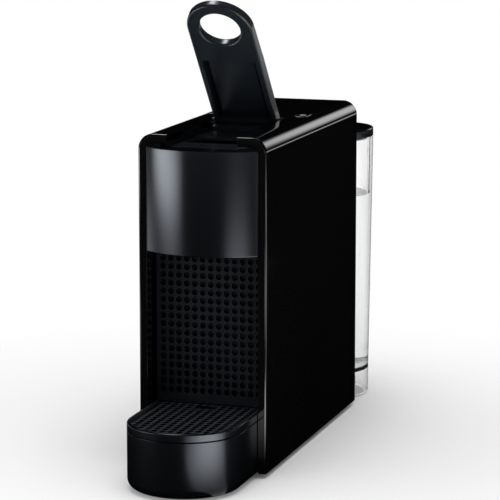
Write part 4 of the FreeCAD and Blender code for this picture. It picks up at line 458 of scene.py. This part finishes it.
# %% Cast finish
cast, tree, shader, place = new_finish("die_cast_aluminium")
crystals = add(tree, "ShaderNodeTexVoronoi", {"Scale": 1 / (1.2 * MM)}, {"Vector": place})
tone = add(tree, "ShaderNodeMix", {FIRST: linear("#b4b6b8"), SECOND: linear("#cacbcd")},
           {FACTOR: crystals.outputs["Distance"]}, data_type="RGBA")
spread = add(tree, "ShaderNodeMapRange", {"To Min": 0.42, "To Max": 0.58},
             {"Value": crystals.outputs["Distance"]})
bump = add(tree, "ShaderNodeBump", {"Strength": 0.15, "Distance": 0.08 * MM},
           {"Height": crystals.outputs["Distance"]})
tree.links.new(tone.outputs[MIXED], shader.inputs["Base Color"])
tree.links.new(spread.outputs["Result"], shader.inputs["Roughness"])
tree.links.new(bump.outputs["Normal"], shader.inputs["Normal"])
shader.inputs["Metallic"].default_value = 1.0
dress(cast, "thermoblock")

# %% [markdown]
# ## Circuit board
#
# The two boards are covered with green solder mask. The copper below it stands out a little
# lighter, here as a pattern of bars 1.5 mm wide and 6 mm long, which is about the size of such
# tracks.

# %% Circuit board finish
board, tree, shader, place = new_finish("solder_masked_board")
tracks = add(tree, "ShaderNodeTexBrick",
             {"Color1": linear("#1e4d2e"), "Color2": linear("#28613b"), "Mortar": linear("#153a22"),
              "Scale": 1.0, "Mortar Size": 0.3 * MM, "Brick Width": 6 * MM, "Row Height": 1.5 * MM},
             {"Vector": place})
bump = add(tree, "ShaderNodeBump", {"Strength": 0.2, "Distance": 0.04 * MM},
           {"Height": tracks.outputs["Fac"]})
tree.links.new(tracks.outputs["Color"], shader.inputs["Base Color"])
tree.links.new(bump.outputs["Normal"], shader.inputs["Normal"])
shader.inputs["Roughness"].default_value = 0.35
dress(board, "button_board", "control_board")

# %% [markdown]
# ## Turned brass
#
# The board stands on turned brass posts. The tool leaves rings of a few tenths of a millimetre,
# which break a highlight into fine lines. They are drawn about 1 mm apart, because finer ones would
# not show.

# %% Brass finish
brass, tree, shader, place = new_finish("turned_brass")
rings = add(tree, "ShaderNodeTexWave", {"Scale": 1 / (3 * MM), "Distortion": 0.4},
            {"Vector": place})
tone = add(tree, "ShaderNodeMix", {FIRST: linear("#a98d4b"), SECOND: linear("#bea361")},
           {FACTOR: rings.outputs["Fac"]}, data_type="RGBA")
spread = add(tree, "ShaderNodeMapRange", {"To Min": 0.24, "To Max": 0.36},
             {"Value": rings.outputs["Fac"]})
tree.links.new(tone.outputs[MIXED], shader.inputs["Base Color"])
tree.links.new(spread.outputs["Result"], shader.inputs["Roughness"])
shader.inputs["Metallic"].default_value = 1.0
dress(brass, "board_standoffs")

# %% [markdown]
# ## Softened edges
#
# No moulded edge is truly sharp: the tool leaves a small radius, and that radius is what catches
# the light as a thin bright line. The CAD solids have their large roundings but not these. Rounding
# every edge in CAD would be slow, so each outer piece is copied here, its triangles are merged into
# clean faces, and a bevel rounds all edges sharper than a given angle. The bevel only takes
# material away, so the sizes stay.

# %% Copies with softened edges
NEARNESS = 0.001 * MM
SAME_PLANE = math.radians(0.05)
SHARP_EDGE = math.radians(35)
LARGE_FACES_LEAD = 100


def select_only(piece):
    """Make a piece the only one that the next operators act on."""
    bpy.ops.object.select_all(action="DESELECT")
    piece.select_set(True)
    bpy.context.view_layer.objects.active = piece


def clean_copy(name):
    """A copy of a CAD piece, its triangles merged into clean faces and its sharp edges selected."""
    select_only(nodes[name])
    bpy.ops.object.duplicate()
    piece = bpy.context.object
    piece.name = name + "_moulded"
    bpy.ops.object.parent_clear(type="CLEAR_KEEP_TRANSFORM")
    bpy.ops.mesh.customdata_custom_splitnormals_clear()
    bpy.ops.object.mode_set(mode="EDIT")
    bpy.ops.mesh.select_all(action="SELECT")
    bpy.ops.mesh.remove_doubles(threshold=NEARNESS)
    bpy.ops.mesh.dissolve_limited(angle_limit=SAME_PLANE)
    bpy.ops.mesh.select_mode(type="EDGE")
    bpy.ops.mesh.select_all(action="DESELECT")
    bpy.ops.mesh.edges_select_sharp(sharpness=SHARP_EDGE)
    bpy.ops.object.mode_set(mode="OBJECT")
    return piece


def soften(name, width, steps=2, share=lambda point: 1.0):
    """A copy of a CAD piece with small roundings on its edges, which stands for it.

    share gives the part of the width that an edge at a point gets.
    """
    piece = clean_copy(name)
    weights = piece.data.attributes.new("bevel_weight_edge", "FLOAT", "EDGE")
    for edge in piece.data.edges:
        middle = sum((piece.data.vertices[corner].co for corner in edge.vertices), Vector()) / 2
        weights.data[edge.index].value = share(middle) if edge.select else 0.0
    rounding = piece.modifiers.new("rounding", "BEVEL")
    rounding.width = width
    rounding.segments = steps
    rounding.limit_method = "WEIGHT"
    bpy.ops.object.modifier_apply(modifier="rounding")
    bpy.ops.object.shade_smooth()
    flats = piece.modifiers.new("flats", "WEIGHTED_NORMAL")
    flats.weight = LARGE_FACES_LEAD
    bpy.ops.object.modifier_apply(modifier="flats")
    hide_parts(name)
    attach(piece, body_of[name])
    print(piece.name, len(piece.data.polygons), "faces")
    return piece


# %% [markdown]
# ## Outer pieces
#
# The side panels get the widest rounding, because their long edges draw the machine's outline. The
# other pieces get a finer one. The dimpled wall has hundreds of edges, so its rounding is the
# finest, in one step.

# %% Outer pieces
SHELL_ROUND = 0.8 * MM
FINE_ROUND = 0.35 * MM
WALL_ROUND = 0.25 * MM
COVER_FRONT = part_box("top_cover")[0][1]
COVER_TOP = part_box("top_cover")[1][2]
SEAM_START = COVER_FRONT + MM
SEAM_DEPTH = 3 * MM
SEAM_REACH = 22 * MM


def except_top_seam(point):
    """Sharp where the top cover meets the side panels' strips, so closely that no seam shows."""
    on_strip = abs(point.x) < SEAM_REACH and point.y > SEAM_START
    return 0.0 if on_strip and point.z > COVER_TOP - SEAM_DEPTH else 1.0


for shell_piece in ("left_side_panel", "right_side_panel"):
    soften(shell_piece, SHELL_ROUND, 3, except_top_seam)
soften("top_cover", FINE_ROUND, 2, except_top_seam)
for plain_piece in ("front_panel", "lever", "lever_underside_cover", "drip_tray", "channel_floor",
                    "rear_cover", "espresso_button", "lungo_button"):
    soften(plain_piece, FINE_ROUND)
soften("capsule_container", WALL_ROUND, 1)

# %% [markdown]
# ## Drip grid
#
# The bars between the grid's holes are rounded on top, so that a cup slides on them and drops run
# off. That rounding makes the grid sparkle: each bar has a light and a dark flank. The same copy
# and bevel make it, with a wide rounding at the holes' upper edges and a fine one elsewhere. Only
# the level top inside the rim keeps the pale slate with its painted light; the walls of the holes
# get the tray's blasted black as painted shade in the holes, and the rim and the underside get the
# same black.

# %% Drip grid with rounded bars
BAR_ROUND = 0.75 * MM
FINE_SHARE = 0.3
RIM_HEIGHT = 0.6 * MM
RIM_WIDTH = 2 * MM
GRID_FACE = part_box("drip_grid")[1][2] - RIM_HEIGHT
AT_FACE = 0.1 * MM
LEVEL_TOP_DEPTH = 0.15 * MM
LEVEL = 0.9


def round_bars(point):
    """The whole rounding at the holes' upper edges, and a share of it at the rim and below."""
    return 1.0 if abs(point.z - GRID_FACE) < AT_FACE else FINE_SHARE


grid = soften("drip_grid", BAR_ROUND, 3, round_bars)
grid.data.materials.append(blasted_black)
nose_middle = Vector((0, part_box("drip_grid")[0][1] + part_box("drip_grid")[1][0], 0))
inside_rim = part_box("drip_grid")[1][0] - RIM_WIDTH
# Faces off the level top get blasted black: painted shade in the holes, and the same black on the
# rim and the underside.
for face in grid.data.polygons:
    from_nose = face.center - nose_middle
    across = Vector((from_nose.x, min(from_nose.y, 0))).length
    on_top = face.normal.z > LEVEL and face.center.z > GRID_FACE - LEVEL_TOP_DEPTH
    face.material_index = 0 if across < inside_rim and on_top else 1
print("black on", sum(face.material_index for face in grid.data.polygons), "faces of the grid")

# %% [markdown]
# ## Lid of the tank
#
# The lid's skirt reaches only a little way into the tank, so hardly any of it shows through the
# clear wall. The lid is a copy with softened edges, and the lowest points of its skirt are pushed
# up.

# %% Lid of the tank
SKIRT_LIFT = 2.5 * MM
SKIRT_BAND = 1 * MM


def choose(kind):
    """Deselect all of the active mesh, so that its points, edges or faces can be selected."""
    bpy.ops.object.mode_set(mode="EDIT")
    bpy.ops.mesh.select_mode(type=kind)
    bpy.ops.mesh.select_all(action="DESELECT")
    bpy.ops.object.mode_set(mode="OBJECT")


lid = soften("tank_lid", FINE_ROUND)
skirt_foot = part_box("tank_lid")[0][2]
choose("VERT")
for corner in lid.data.vertices:
    corner.select = corner.co.z < skirt_foot + SKIRT_BAND
bpy.ops.object.mode_set(mode="EDIT")
bpy.ops.transform.translate(value=(0, 0, SKIRT_LIFT))
bpy.ops.object.mode_set(mode="OBJECT")
print("lid's skirt ends", round((skirt_foot + SKIRT_LIFT) / MM, 2), "mm up")

# %% [markdown]
# ## Floor of the tank
#
# The floor of the tank is clear too, with a dark seal round its edge, which shows as a dark ring
# near the tank's foot. On a copy with softened edges, the faces of the floor's edge get the seal's
# rubber and are pressed half a millimetre outwards, against the wall.

# %% Floor of the tank
FLOOR_ROUND = 0.2 * MM
SEAL_SQUEEZE = 0.5 * MM
SEAL_REACH = 20 * MM
UPRIGHT = 0.5

tank_floor = soften("tank_floor", FLOOR_ROUND, 1)
tank_floor.data.materials.append(rubber)
low, high = (Vector(corner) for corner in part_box("tank_floor"))
seal_middle = (low + high) / 2
seal_half = (high - low) / 2
choose("FACE")
for face in tank_floor.data.polygons:
    outside = (face.center - seal_middle).xy.length > SEAL_REACH
    face.select = abs(face.normal.z) < UPRIGHT and outside
    face.material_index = int(face.select)
bpy.ops.object.mode_set(mode="EDIT")
bpy.ops.transform.resize(value=(1 + SEAL_SQUEEZE / seal_half.x, 1 + SEAL_SQUEEZE / seal_half.y, 1),
                         center_override=seal_middle)
bpy.ops.object.mode_set(mode="OBJECT")
print("seal on", sum(face.material_index for face in tank_floor.data.polygons),
      "faces of the tank's floor")

# %% [markdown]
# ## Still water
#
# Water is clear, with a refractive index of 1.33. Where its surface is seen edge-on it looks
# darker, so the angle of view gives the tone, as it does on the tank.

# %% Water finish
water_finish, tree, shader, place = new_finish("still_water")
edge_on = add(tree, "ShaderNodeLayerWeight", {"Blend": 0.5})
outline = add(tree, "ShaderNodeMath", {1: 1.8}, {0: edge_on.outputs["Facing"]}, operation="POWER")
tone = add(tree, "ShaderNodeMix", {FIRST: linear("#fdfefe"), SECOND: linear("#20262c")},
           {FACTOR: outline.outputs[0]}, data_type="RGBA")
tree.links.new(tone.outputs[MIXED], shader.inputs["Base Color"])
shader.inputs["Roughness"].default_value = 0.0
shader.inputs["IOR"].default_value = 1.33
shader.inputs["Specular IOR Level"].default_value = 0.25
shader.inputs["Transmission Weight"].default_value = 1.0
print(water_finish.name, "is ready")

# %% [markdown]
# ## Water in the tank
#
# The tank is about three quarters full. The water is one closed body that fills the inside of the
# tank from its floor to its level. It starts as a block, its upright edges are rounded as the
# tank's are, and its foot is drawn in with the tank's taper. It reaches a little into the wall, so
# that no film of air shows.

# %% Block of water
TANK_HALF = 40 * MM
TANK_FRONT = 104.5 * MM
TANK_BACK = 165 * MM
TANK_ROUND = 28 * MM
TANK_WALL = 2.2 * MM
TANK_TAPER = 2 * MM
TANK_FOOT = 1.2 * MM
TANK_RIM = 175.5 * MM
WATER_IN_WALL = 0.3 * MM
WATER_FOOT = 19.8 * MM
WATER_LEVEL = 137 * MM


def tank_inside(height):
    """Half the width, front and back of the water at a height, with the tank's taper."""
    taper = TANK_TAPER * (TANK_RIM - height) / (TANK_RIM - TANK_FOOT)
    inset = TANK_WALL - WATER_IN_WALL
    return TANK_HALF - taper - inset, TANK_FRONT + taper / 2 + inset, TANK_BACK - taper - inset


half, front, back = tank_inside(WATER_LEVEL)
bpy.ops.object.select_all(action="DESELECT")
bpy.ops.mesh.primitive_cube_add(
    size=1, location=(0, (front + back) / 2, (WATER_FOOT + WATER_LEVEL) / 2),
    scale=(2 * half, back - front, WATER_LEVEL - WATER_FOOT))
water = bpy.context.object
water.name = "tank_water"
bpy.ops.object.transform_apply(location=True, rotation=True, scale=True)
print("water from", WATER_FOOT, "to", WATER_LEVEL, "m")

# %% Rounded and tapered water
ROUND_STEPS = 14
SMOOTH_BELOW = math.radians(40)

choose("EDGE")
for edge in water.data.edges:
    first, second = (water.data.vertices[corner].co for corner in edge.vertices)
    edge.select = abs(first.z - second.z) > WATER_LEVEL - WATER_FOOT - MM
bpy.ops.object.mode_set(mode="EDIT")
bpy.ops.mesh.bevel(offset=TANK_ROUND - TANK_WALL + WATER_IN_WALL, segments=ROUND_STEPS,
                   affect="EDGES")
bpy.ops.object.mode_set(mode="OBJECT")
choose("FACE")
for face in water.data.polygons:
    face.select = face.normal.z < -LEVEL
foot_half, foot_front, foot_back = tank_inside(WATER_FOOT)
bpy.ops.object.mode_set(mode="EDIT")
bpy.ops.transform.resize(value=(foot_half / half, (foot_back - foot_front) / (back - front), 1),
                         center_override=(0, (front + back) / 2, WATER_FOOT))
bpy.ops.transform.translate(value=(0, (foot_front + foot_back - front - back) / 2, 0))
bpy.ops.object.mode_set(mode="OBJECT")
bpy.ops.object.shade_smooth_by_angle(angle=SMOOTH_BELOW)
water.data.materials.append(water_finish)
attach(water, "tank")
print("water has", len(water.data.polygons), "faces")

# %% [markdown]
# ## White print
#
# The signs on the buttons are pad-printed. The white ink dries silky and a little uneven, which
# specks of a third of a millimetre in the roughness show. The print is a tenth of a millimetre
# thick, as a heavy one is.

# %% White print
PRINT = 0.12 * MM

white_print, tree, shader, place = new_finish("pad_printed_white")
specks = add(tree, "ShaderNodeTexNoise", {"Scale": 1 / (0.3 * MM), "Detail": 2.0},
             {"Vector": place})
ink = add(tree, "ShaderNodeMapRange", {"To Min": 0.45, "To Max": 0.6},
          {"Value": specks.outputs["Fac"]})
tree.links.new(ink.outputs["Result"], shader.inputs["Roughness"])
shader.inputs["Base Color"].default_value = linear("#dcdcda")
print(white_print.name, "is ready")

# %% [markdown]
# ## Cup signs on the buttons
#
# Each button has a printed white cup, a small one for a short coffee and a larger one for a long
# one. The sign is cut from simple shapes: half a disc is the cup, half a ring is its handle and a
# bar with softened edges is its saucer. The sizes of these shapes are given in radii of the cup.

# %% Cup, handle and saucer
CUP_RISE = 0.5
HANDLE_RING = 0.35
HANDLE_ROD = 0.1
HANDLE_OUT = 0.9
HANDLE_RISE = 0.1
HANDLE_CUT = 0.85
SAUCER_DROP = 0.85
SAUCER_LENGTH = 2.2
SAUCER_DEPTH = 0.22
SAUCER_ROUND = 0.3 * PRINT


def half_disc(middle, level, radius):
    """The cup: the half of a disc in front of its rim."""
    rim = middle.y + radius * CUP_RISE
    bpy.ops.object.select_all(action="DESELECT")
    bpy.ops.mesh.primitive_cylinder_add(vertices=32, radius=radius, depth=PRINT,
                                        location=(middle.x, rim, level))
    bpy.ops.object.transform_apply(location=True)
    bpy.ops.object.mode_set(mode="EDIT")
    bpy.ops.mesh.select_all(action="SELECT")
    bpy.ops.mesh.bisect(plane_co=(0, rim, 0), plane_no=(0, 1, 0), use_fill=True,
                        clear_outer=True, threshold=NEARNESS)
    bpy.ops.object.mode_set(mode="OBJECT")
    return bpy.context.object


def half_ring(middle, level, radius):
    """The handle: a ring pressed as flat as the print and cut off inside the cup."""
    bpy.ops.object.select_all(action="DESELECT")
    bpy.ops.mesh.primitive_torus_add(
        major_radius=radius * HANDLE_RING, minor_radius=radius * HANDLE_ROD,
        major_segments=20, minor_segments=8,
        location=(middle.x + radius * HANDLE_OUT, middle.y + radius * HANDLE_RISE, level))
    bpy.ops.transform.resize(value=(1, 1, PRINT / (radius * (2 * HANDLE_ROD))))
    bpy.ops.object.transform_apply(location=True, scale=True)
    bpy.ops.object.mode_set(mode="EDIT")
    bpy.ops.mesh.select_all(action="SELECT")
    bpy.ops.mesh.bisect(plane_co=(middle.x + radius * HANDLE_CUT, 0, 0), plane_no=(1, 0, 0),
                        use_fill=True, clear_inner=True, threshold=NEARNESS)
    bpy.ops.object.mode_set(mode="OBJECT")
    return bpy.context.object


def soft_bar(middle, level, radius):
    """The saucer: a bar below the cup with softened edges."""
    bpy.ops.object.select_all(action="DESELECT")
    bpy.ops.mesh.primitive_cube_add(size=1,
                                    location=(middle.x, middle.y - radius * SAUCER_DROP, level),
                                    scale=(radius * SAUCER_LENGTH, radius * SAUCER_DEPTH, PRINT))
    bpy.ops.object.transform_apply(location=True, scale=True)
    bpy.ops.object.mode_set(mode="EDIT")
    bpy.ops.mesh.select_all(action="SELECT")
    bpy.ops.mesh.bevel(offset=SAUCER_ROUND, segments=2, affect="EDGES")
    bpy.ops.object.mode_set(mode="OBJECT")
    return bpy.context.object


# %% Cup signs
def cup_sign(name, button, radius):
    """A cup with its handle and saucer on a button's top, which goes down with the button."""
    low, high = (Vector(corner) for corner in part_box(button))
    middle = (low + high) / 2
    level = high.z + PRINT / 2
    parts = [shape(middle, level, radius) for shape in (half_disc, half_ring, soft_bar)]
    for part in parts:
        part.select_set(True)
    bpy.context.view_layer.objects.active = parts[0]
    bpy.ops.object.join()
    sign = bpy.context.object
    sign.name = name
    bpy.context.scene.cursor.location = (0, 0, 0)
    bpy.ops.object.origin_set(type="ORIGIN_CURSOR")
    sign.data.materials.clear()
    sign.data.materials.append(white_print)
    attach(sign, button)
    print(name, "on", button)


cup_sign("short_cup_sign", "espresso_button", 1.5 * MM)
cup_sign("long_cup_sign", "lungo_button", 2.1 * MM)

# %% [markdown]
# ## Floor
#
# The machine stands on a pale, matt floor. Close to it the floor is lit like everything else and
# takes the soft shadow. Farther off it fades into the white of the background, so no horizon shows.
# The camera, the clear tank and anything that mirrors all see that white.

# %% Floor
FLOOR_SIZE = 8
FADE_START = 0.06
FADE_END = 0.4
WHITE = (1, 1, 1, 1)


def seen_rays(tree):
    """1 for rays from the camera, from mirrors and through clear pieces, and 0 for all others."""
    rays = add(tree, "ShaderNodeLightPath")
    mirrored = add(tree, "ShaderNodeMath", None,
                   {0: rays.outputs["Is Glossy Ray"], 1: rays.outputs["Is Transmission Ray"]},
                   operation="MAXIMUM")
    seen = add(tree, "ShaderNodeMath", None,
               {0: rays.outputs["Is Camera Ray"], 1: mirrored.outputs[0]}, operation="MAXIMUM")
    return seen.outputs[0]


bpy.ops.object.select_all(action="DESELECT")
bpy.ops.mesh.primitive_plane_add(size=FLOOR_SIZE, location=(0, 0, 0))
floor = bpy.context.object
floor.name = "floor"
floor_paint, tree, shader, place = new_finish("pale_matt_floor")
shader.inputs["Base Color"].default_value = linear("#f4f4f4")
shader.inputs["Roughness"].default_value = 0.95
shader.inputs["Specular IOR Level"].default_value = 0.0
distance = add(tree, "ShaderNodeVectorMath", None, {0: place}, operation="LENGTH")
fade = add(tree, "ShaderNodeMapRange", {"From Min": FADE_START, "From Max": FADE_END},
           {"Value": distance.outputs["Value"]}, interpolation_type="SMOOTHSTEP")
white = add(tree, "ShaderNodeEmission", {"Color": WHITE, "Strength": 1.0})
faded = add(tree, "ShaderNodeMath", None, {0: fade.outputs["Result"], 1: seen_rays(tree)},
            operation="MULTIPLY")
pale = add(tree, "ShaderNodeMixShader", None,
           {"Fac": faded.outputs[0], 1: shader.outputs["BSDF"], 2: white.outputs["Emission"]})
tree.links.new(pale.outputs["Shader"], tree.nodes["Material Output"].inputs["Surface"])
floor.data.materials.append(floor_paint)
print("floor fades to white from", FADE_START, "to", FADE_END, "m")

# %% [markdown]
# ## Background
#
# The background is the same white for the camera, the mirrors and the clear pieces. As a light it
# is weaker, so that the lamps and not the room shape the machine.

# %% Background
SKY_FOR_SHADING = 0.6

world = bpy.data.worlds.new("studio")
bpy.context.scene.world = world
world.use_nodes = True
tree = world.node_tree
background = tree.nodes["Background"]
level = add(tree, "ShaderNodeMapRange", {"To Min": SKY_FOR_SHADING, "To Max": 1.0},
            {"Value": seen_rays(tree)})
tree.links.new(level.outputs["Result"], background.inputs["Strength"])
background.inputs["Color"].default_value = WHITE
print("white background, sky at", SKY_FOR_SHADING, "for shading")

# %% [markdown]
# ## Black flags
#
# A black gloss body is a mirror, and in a white room it would look grey. In a studio black cloths,
# called flags, are hung round it, and the boxes of light stand in front of them. One flag lies on
# the floor and one hangs round the machine as a tent. Between them a narrow gap is left at eye
# level, whose white draws the thin bright lines along the edges. The flags are seen by mirrored
# rays only, so they take no light from the machine and don't come into the picture. A ray that goes
# through the tank passes them.

# %% Velvet
velvet, tree, shader, place = new_finish("black_velvet")
shader.inputs["Base Color"].default_value = linear("#050505")
shader.inputs["Roughness"].default_value = 1.0
shader.inputs["Specular IOR Level"].default_value = 0.0
rays = add(tree, "ShaderNodeLightPath")
nothing = add(tree, "ShaderNodeBsdfTransparent")
passed = add(tree, "ShaderNodeMixShader", None,
             {"Fac": rays.outputs["Is Transmission Ray"], 1: shader.outputs["BSDF"],
              2: nothing.outputs["BSDF"]})
tree.links.new(passed.outputs["Shader"], tree.nodes["Material Output"].inputs["Surface"])
print(velvet.name, "is ready")

# %% Flags
FLAG_SIDES = 48
FLAG_RADIUS = 2.2
FLAG_LIFT = 1 * MM
TENT_RADIUS = 2.6
TENT_FOOT = 0.08
TENT_TOP = 2.4


def hang(flag, name):
    """Make a mesh a flag that only mirrored rays meet."""
    flag.name = name
    flag.data.materials.append(velvet)
    flag.visible_camera = False
    flag.visible_diffuse = False
    flag.visible_transmission = False
    flag.visible_shadow = False
    print(name, "hung")


bpy.ops.object.select_all(action="DESELECT")
bpy.ops.mesh.primitive_circle_add(vertices=FLAG_SIDES, radius=FLAG_RADIUS, fill_type="NGON",
                                  location=(0, 0, FLAG_LIFT))
hang(bpy.context.object, "floor_flag")
bpy.ops.object.select_all(action="DESELECT")
bpy.ops.mesh.primitive_cylinder_add(vertices=FLAG_SIDES, radius=TENT_RADIUS,
                                    depth=TENT_TOP - TENT_FOOT,
                                    location=(0, 0, (TENT_TOP + TENT_FOOT) / 2))
tent = bpy.context.object
choose("FACE")
for face in tent.data.polygons:
    face.select = face.normal.z < -LEVEL
bpy.ops.object.mode_set(mode="EDIT")
bpy.ops.mesh.delete(type="FACE")
bpy.ops.object.mode_set(mode="OBJECT")
hang(tent, "flag_tent")

# %% [markdown]
# ## One light, and where it stands
#
# A soft box and a white card that bounces light up are both a glowing rectangle. It is brightest in
# its middle and falls off to its edges, so its image in the gloss has no hard outline. The camera
# doesn't see it.

# %% Helpers for lights
BOX_MIDDLE = (0.5, 0.5, 0)
FALLS_FROM, FALLS_TO = 0.15, 0.62
MIDDLE_GLOW, EDGE_GLOW = 1.3, 0.1
CARD_HEIGHT = 2 * MM


def light_box(name, place, turn, width, height, radiance):
    """A soft box or a bounce card at a place, facing along its turn."""
    bpy.ops.object.light_add(type="AREA", location=place, rotation=turn)
    made = bpy.context.object
    made.name = name
    made.data.shape = "RECTANGLE"
    made.data.size = width
    made.data.size_y = height
    made.data.energy = radiance * math.pi * width * height
    made.data.use_nodes = True
    tree = made.data.node_tree
    spot = add(tree, "ShaderNodeNewGeometry").outputs["Parametric"]
    hump = add(tree, "ShaderNodeVectorMath", {1: BOX_MIDDLE}, {0: spot}, operation="DISTANCE")
    falloff = add(tree, "ShaderNodeMapRange",
                  {"From Min": FALLS_FROM, "From Max": FALLS_TO,
                   "To Min": MIDDLE_GLOW, "To Max": EDGE_GLOW},
                  {"Value": hump.outputs["Value"]}, interpolation_type="SMOOTHSTEP")
    tree.links.new(falloff.outputs["Result"], tree.nodes["Emission"].inputs["Strength"])
    made.visible_camera = False
    made.visible_transmission = False
    return made


def around(turn, rise, distance, target, roll=0):
    """A place at an angle round a target, counted from the front, and the turn that faces it."""
    turn, rise, target = math.radians(turn), math.radians(rise), Vector(target)
    away = Vector((math.sin(turn) * math.cos(rise),
                   -math.cos(turn) * math.cos(rise),
                   math.sin(rise)))
    facing = (-away).to_track_quat("-Z", "Y") @ Quaternion((0, 0, 1), math.radians(roll))
    return target + away * distance, facing.to_euler()


def on_floor(across, along, turn):
    """The place of a card that lies on the floor, and the turn that faces it up."""
    return (across, along, CARD_HEIGHT), (math.pi, 0, math.radians(turn))


# %% [markdown]
# ## Lamps
#
# Each light shows as a shape in the black gloss. The box on the left is the glow on the front's
# left, the two cards close in front are the glows on the tray's nose and on the front's lower
# right, and the card farther to the right draws the upright edge beside the front. The box behind
# is the line along the top's right edge, and the strip above gives the glints on the lever. The
# broad cards on both sides and the box overhead shade the sides and the top for views from there.
# The fill above only shades the matt surfaces and the floor.

# %% Lamps
light_box("left_box", *around(-60, 2, 0.55, (0, -0.1, 0.094), -4), 0.47, 0.085, 7.6)
light_box("tray_card", *on_floor(0.168, -0.222, 10), 0.26, 0.2, 4.8)
light_box("panel_card", *on_floor(0.37, -0.60, -60), 0.44, 0.4, 3.2)
light_box("edge_card", *on_floor(1.1, -0.45, 0), 0.5, 0.4, 6.0)
light_box("right_card", *on_floor(0.74, 0.1, 0), 0.95, 1.0, 1.5)
light_box("left_card", *on_floor(-0.74, 0.22, 0), 0.95, 1.0, 1.5)
light_box("left_front_card", *on_floor(-0.4, -0.38, 0), 0.36, 0.36, 2.0)
light_box("rear_box", *around(167, 11, 1.1, (0.04, 0, 0.2)), 0.31, 0.37, 1.4)
strip = light_box("top_strip", *around(-117, 70, 1.2, (0, -0.05, 0.2)), 0.4, 0.4, 14.0)
strip.visible_diffuse = False
overhead = light_box("overhead_box", *around(180, 58, 1.4, (0, 0, 0.2)), 1.1, 0.6, 1.6)
overhead.visible_diffuse = False
fill = light_box("top_fill", *around(20, 80, 1.2, (0, 0, 0.1)), 1.0, 1.0, 3.6)
fill.visible_glossy = False
print("five soft boxes and six bounce cards")

# %% [markdown]
# ## Picture
#
# The Standard view shows each colour as it is written.

# %% Picture settings
bpy.context.scene.view_settings.view_transform = "Standard"
print("view:", bpy.context.scene.view_settings.view_transform)
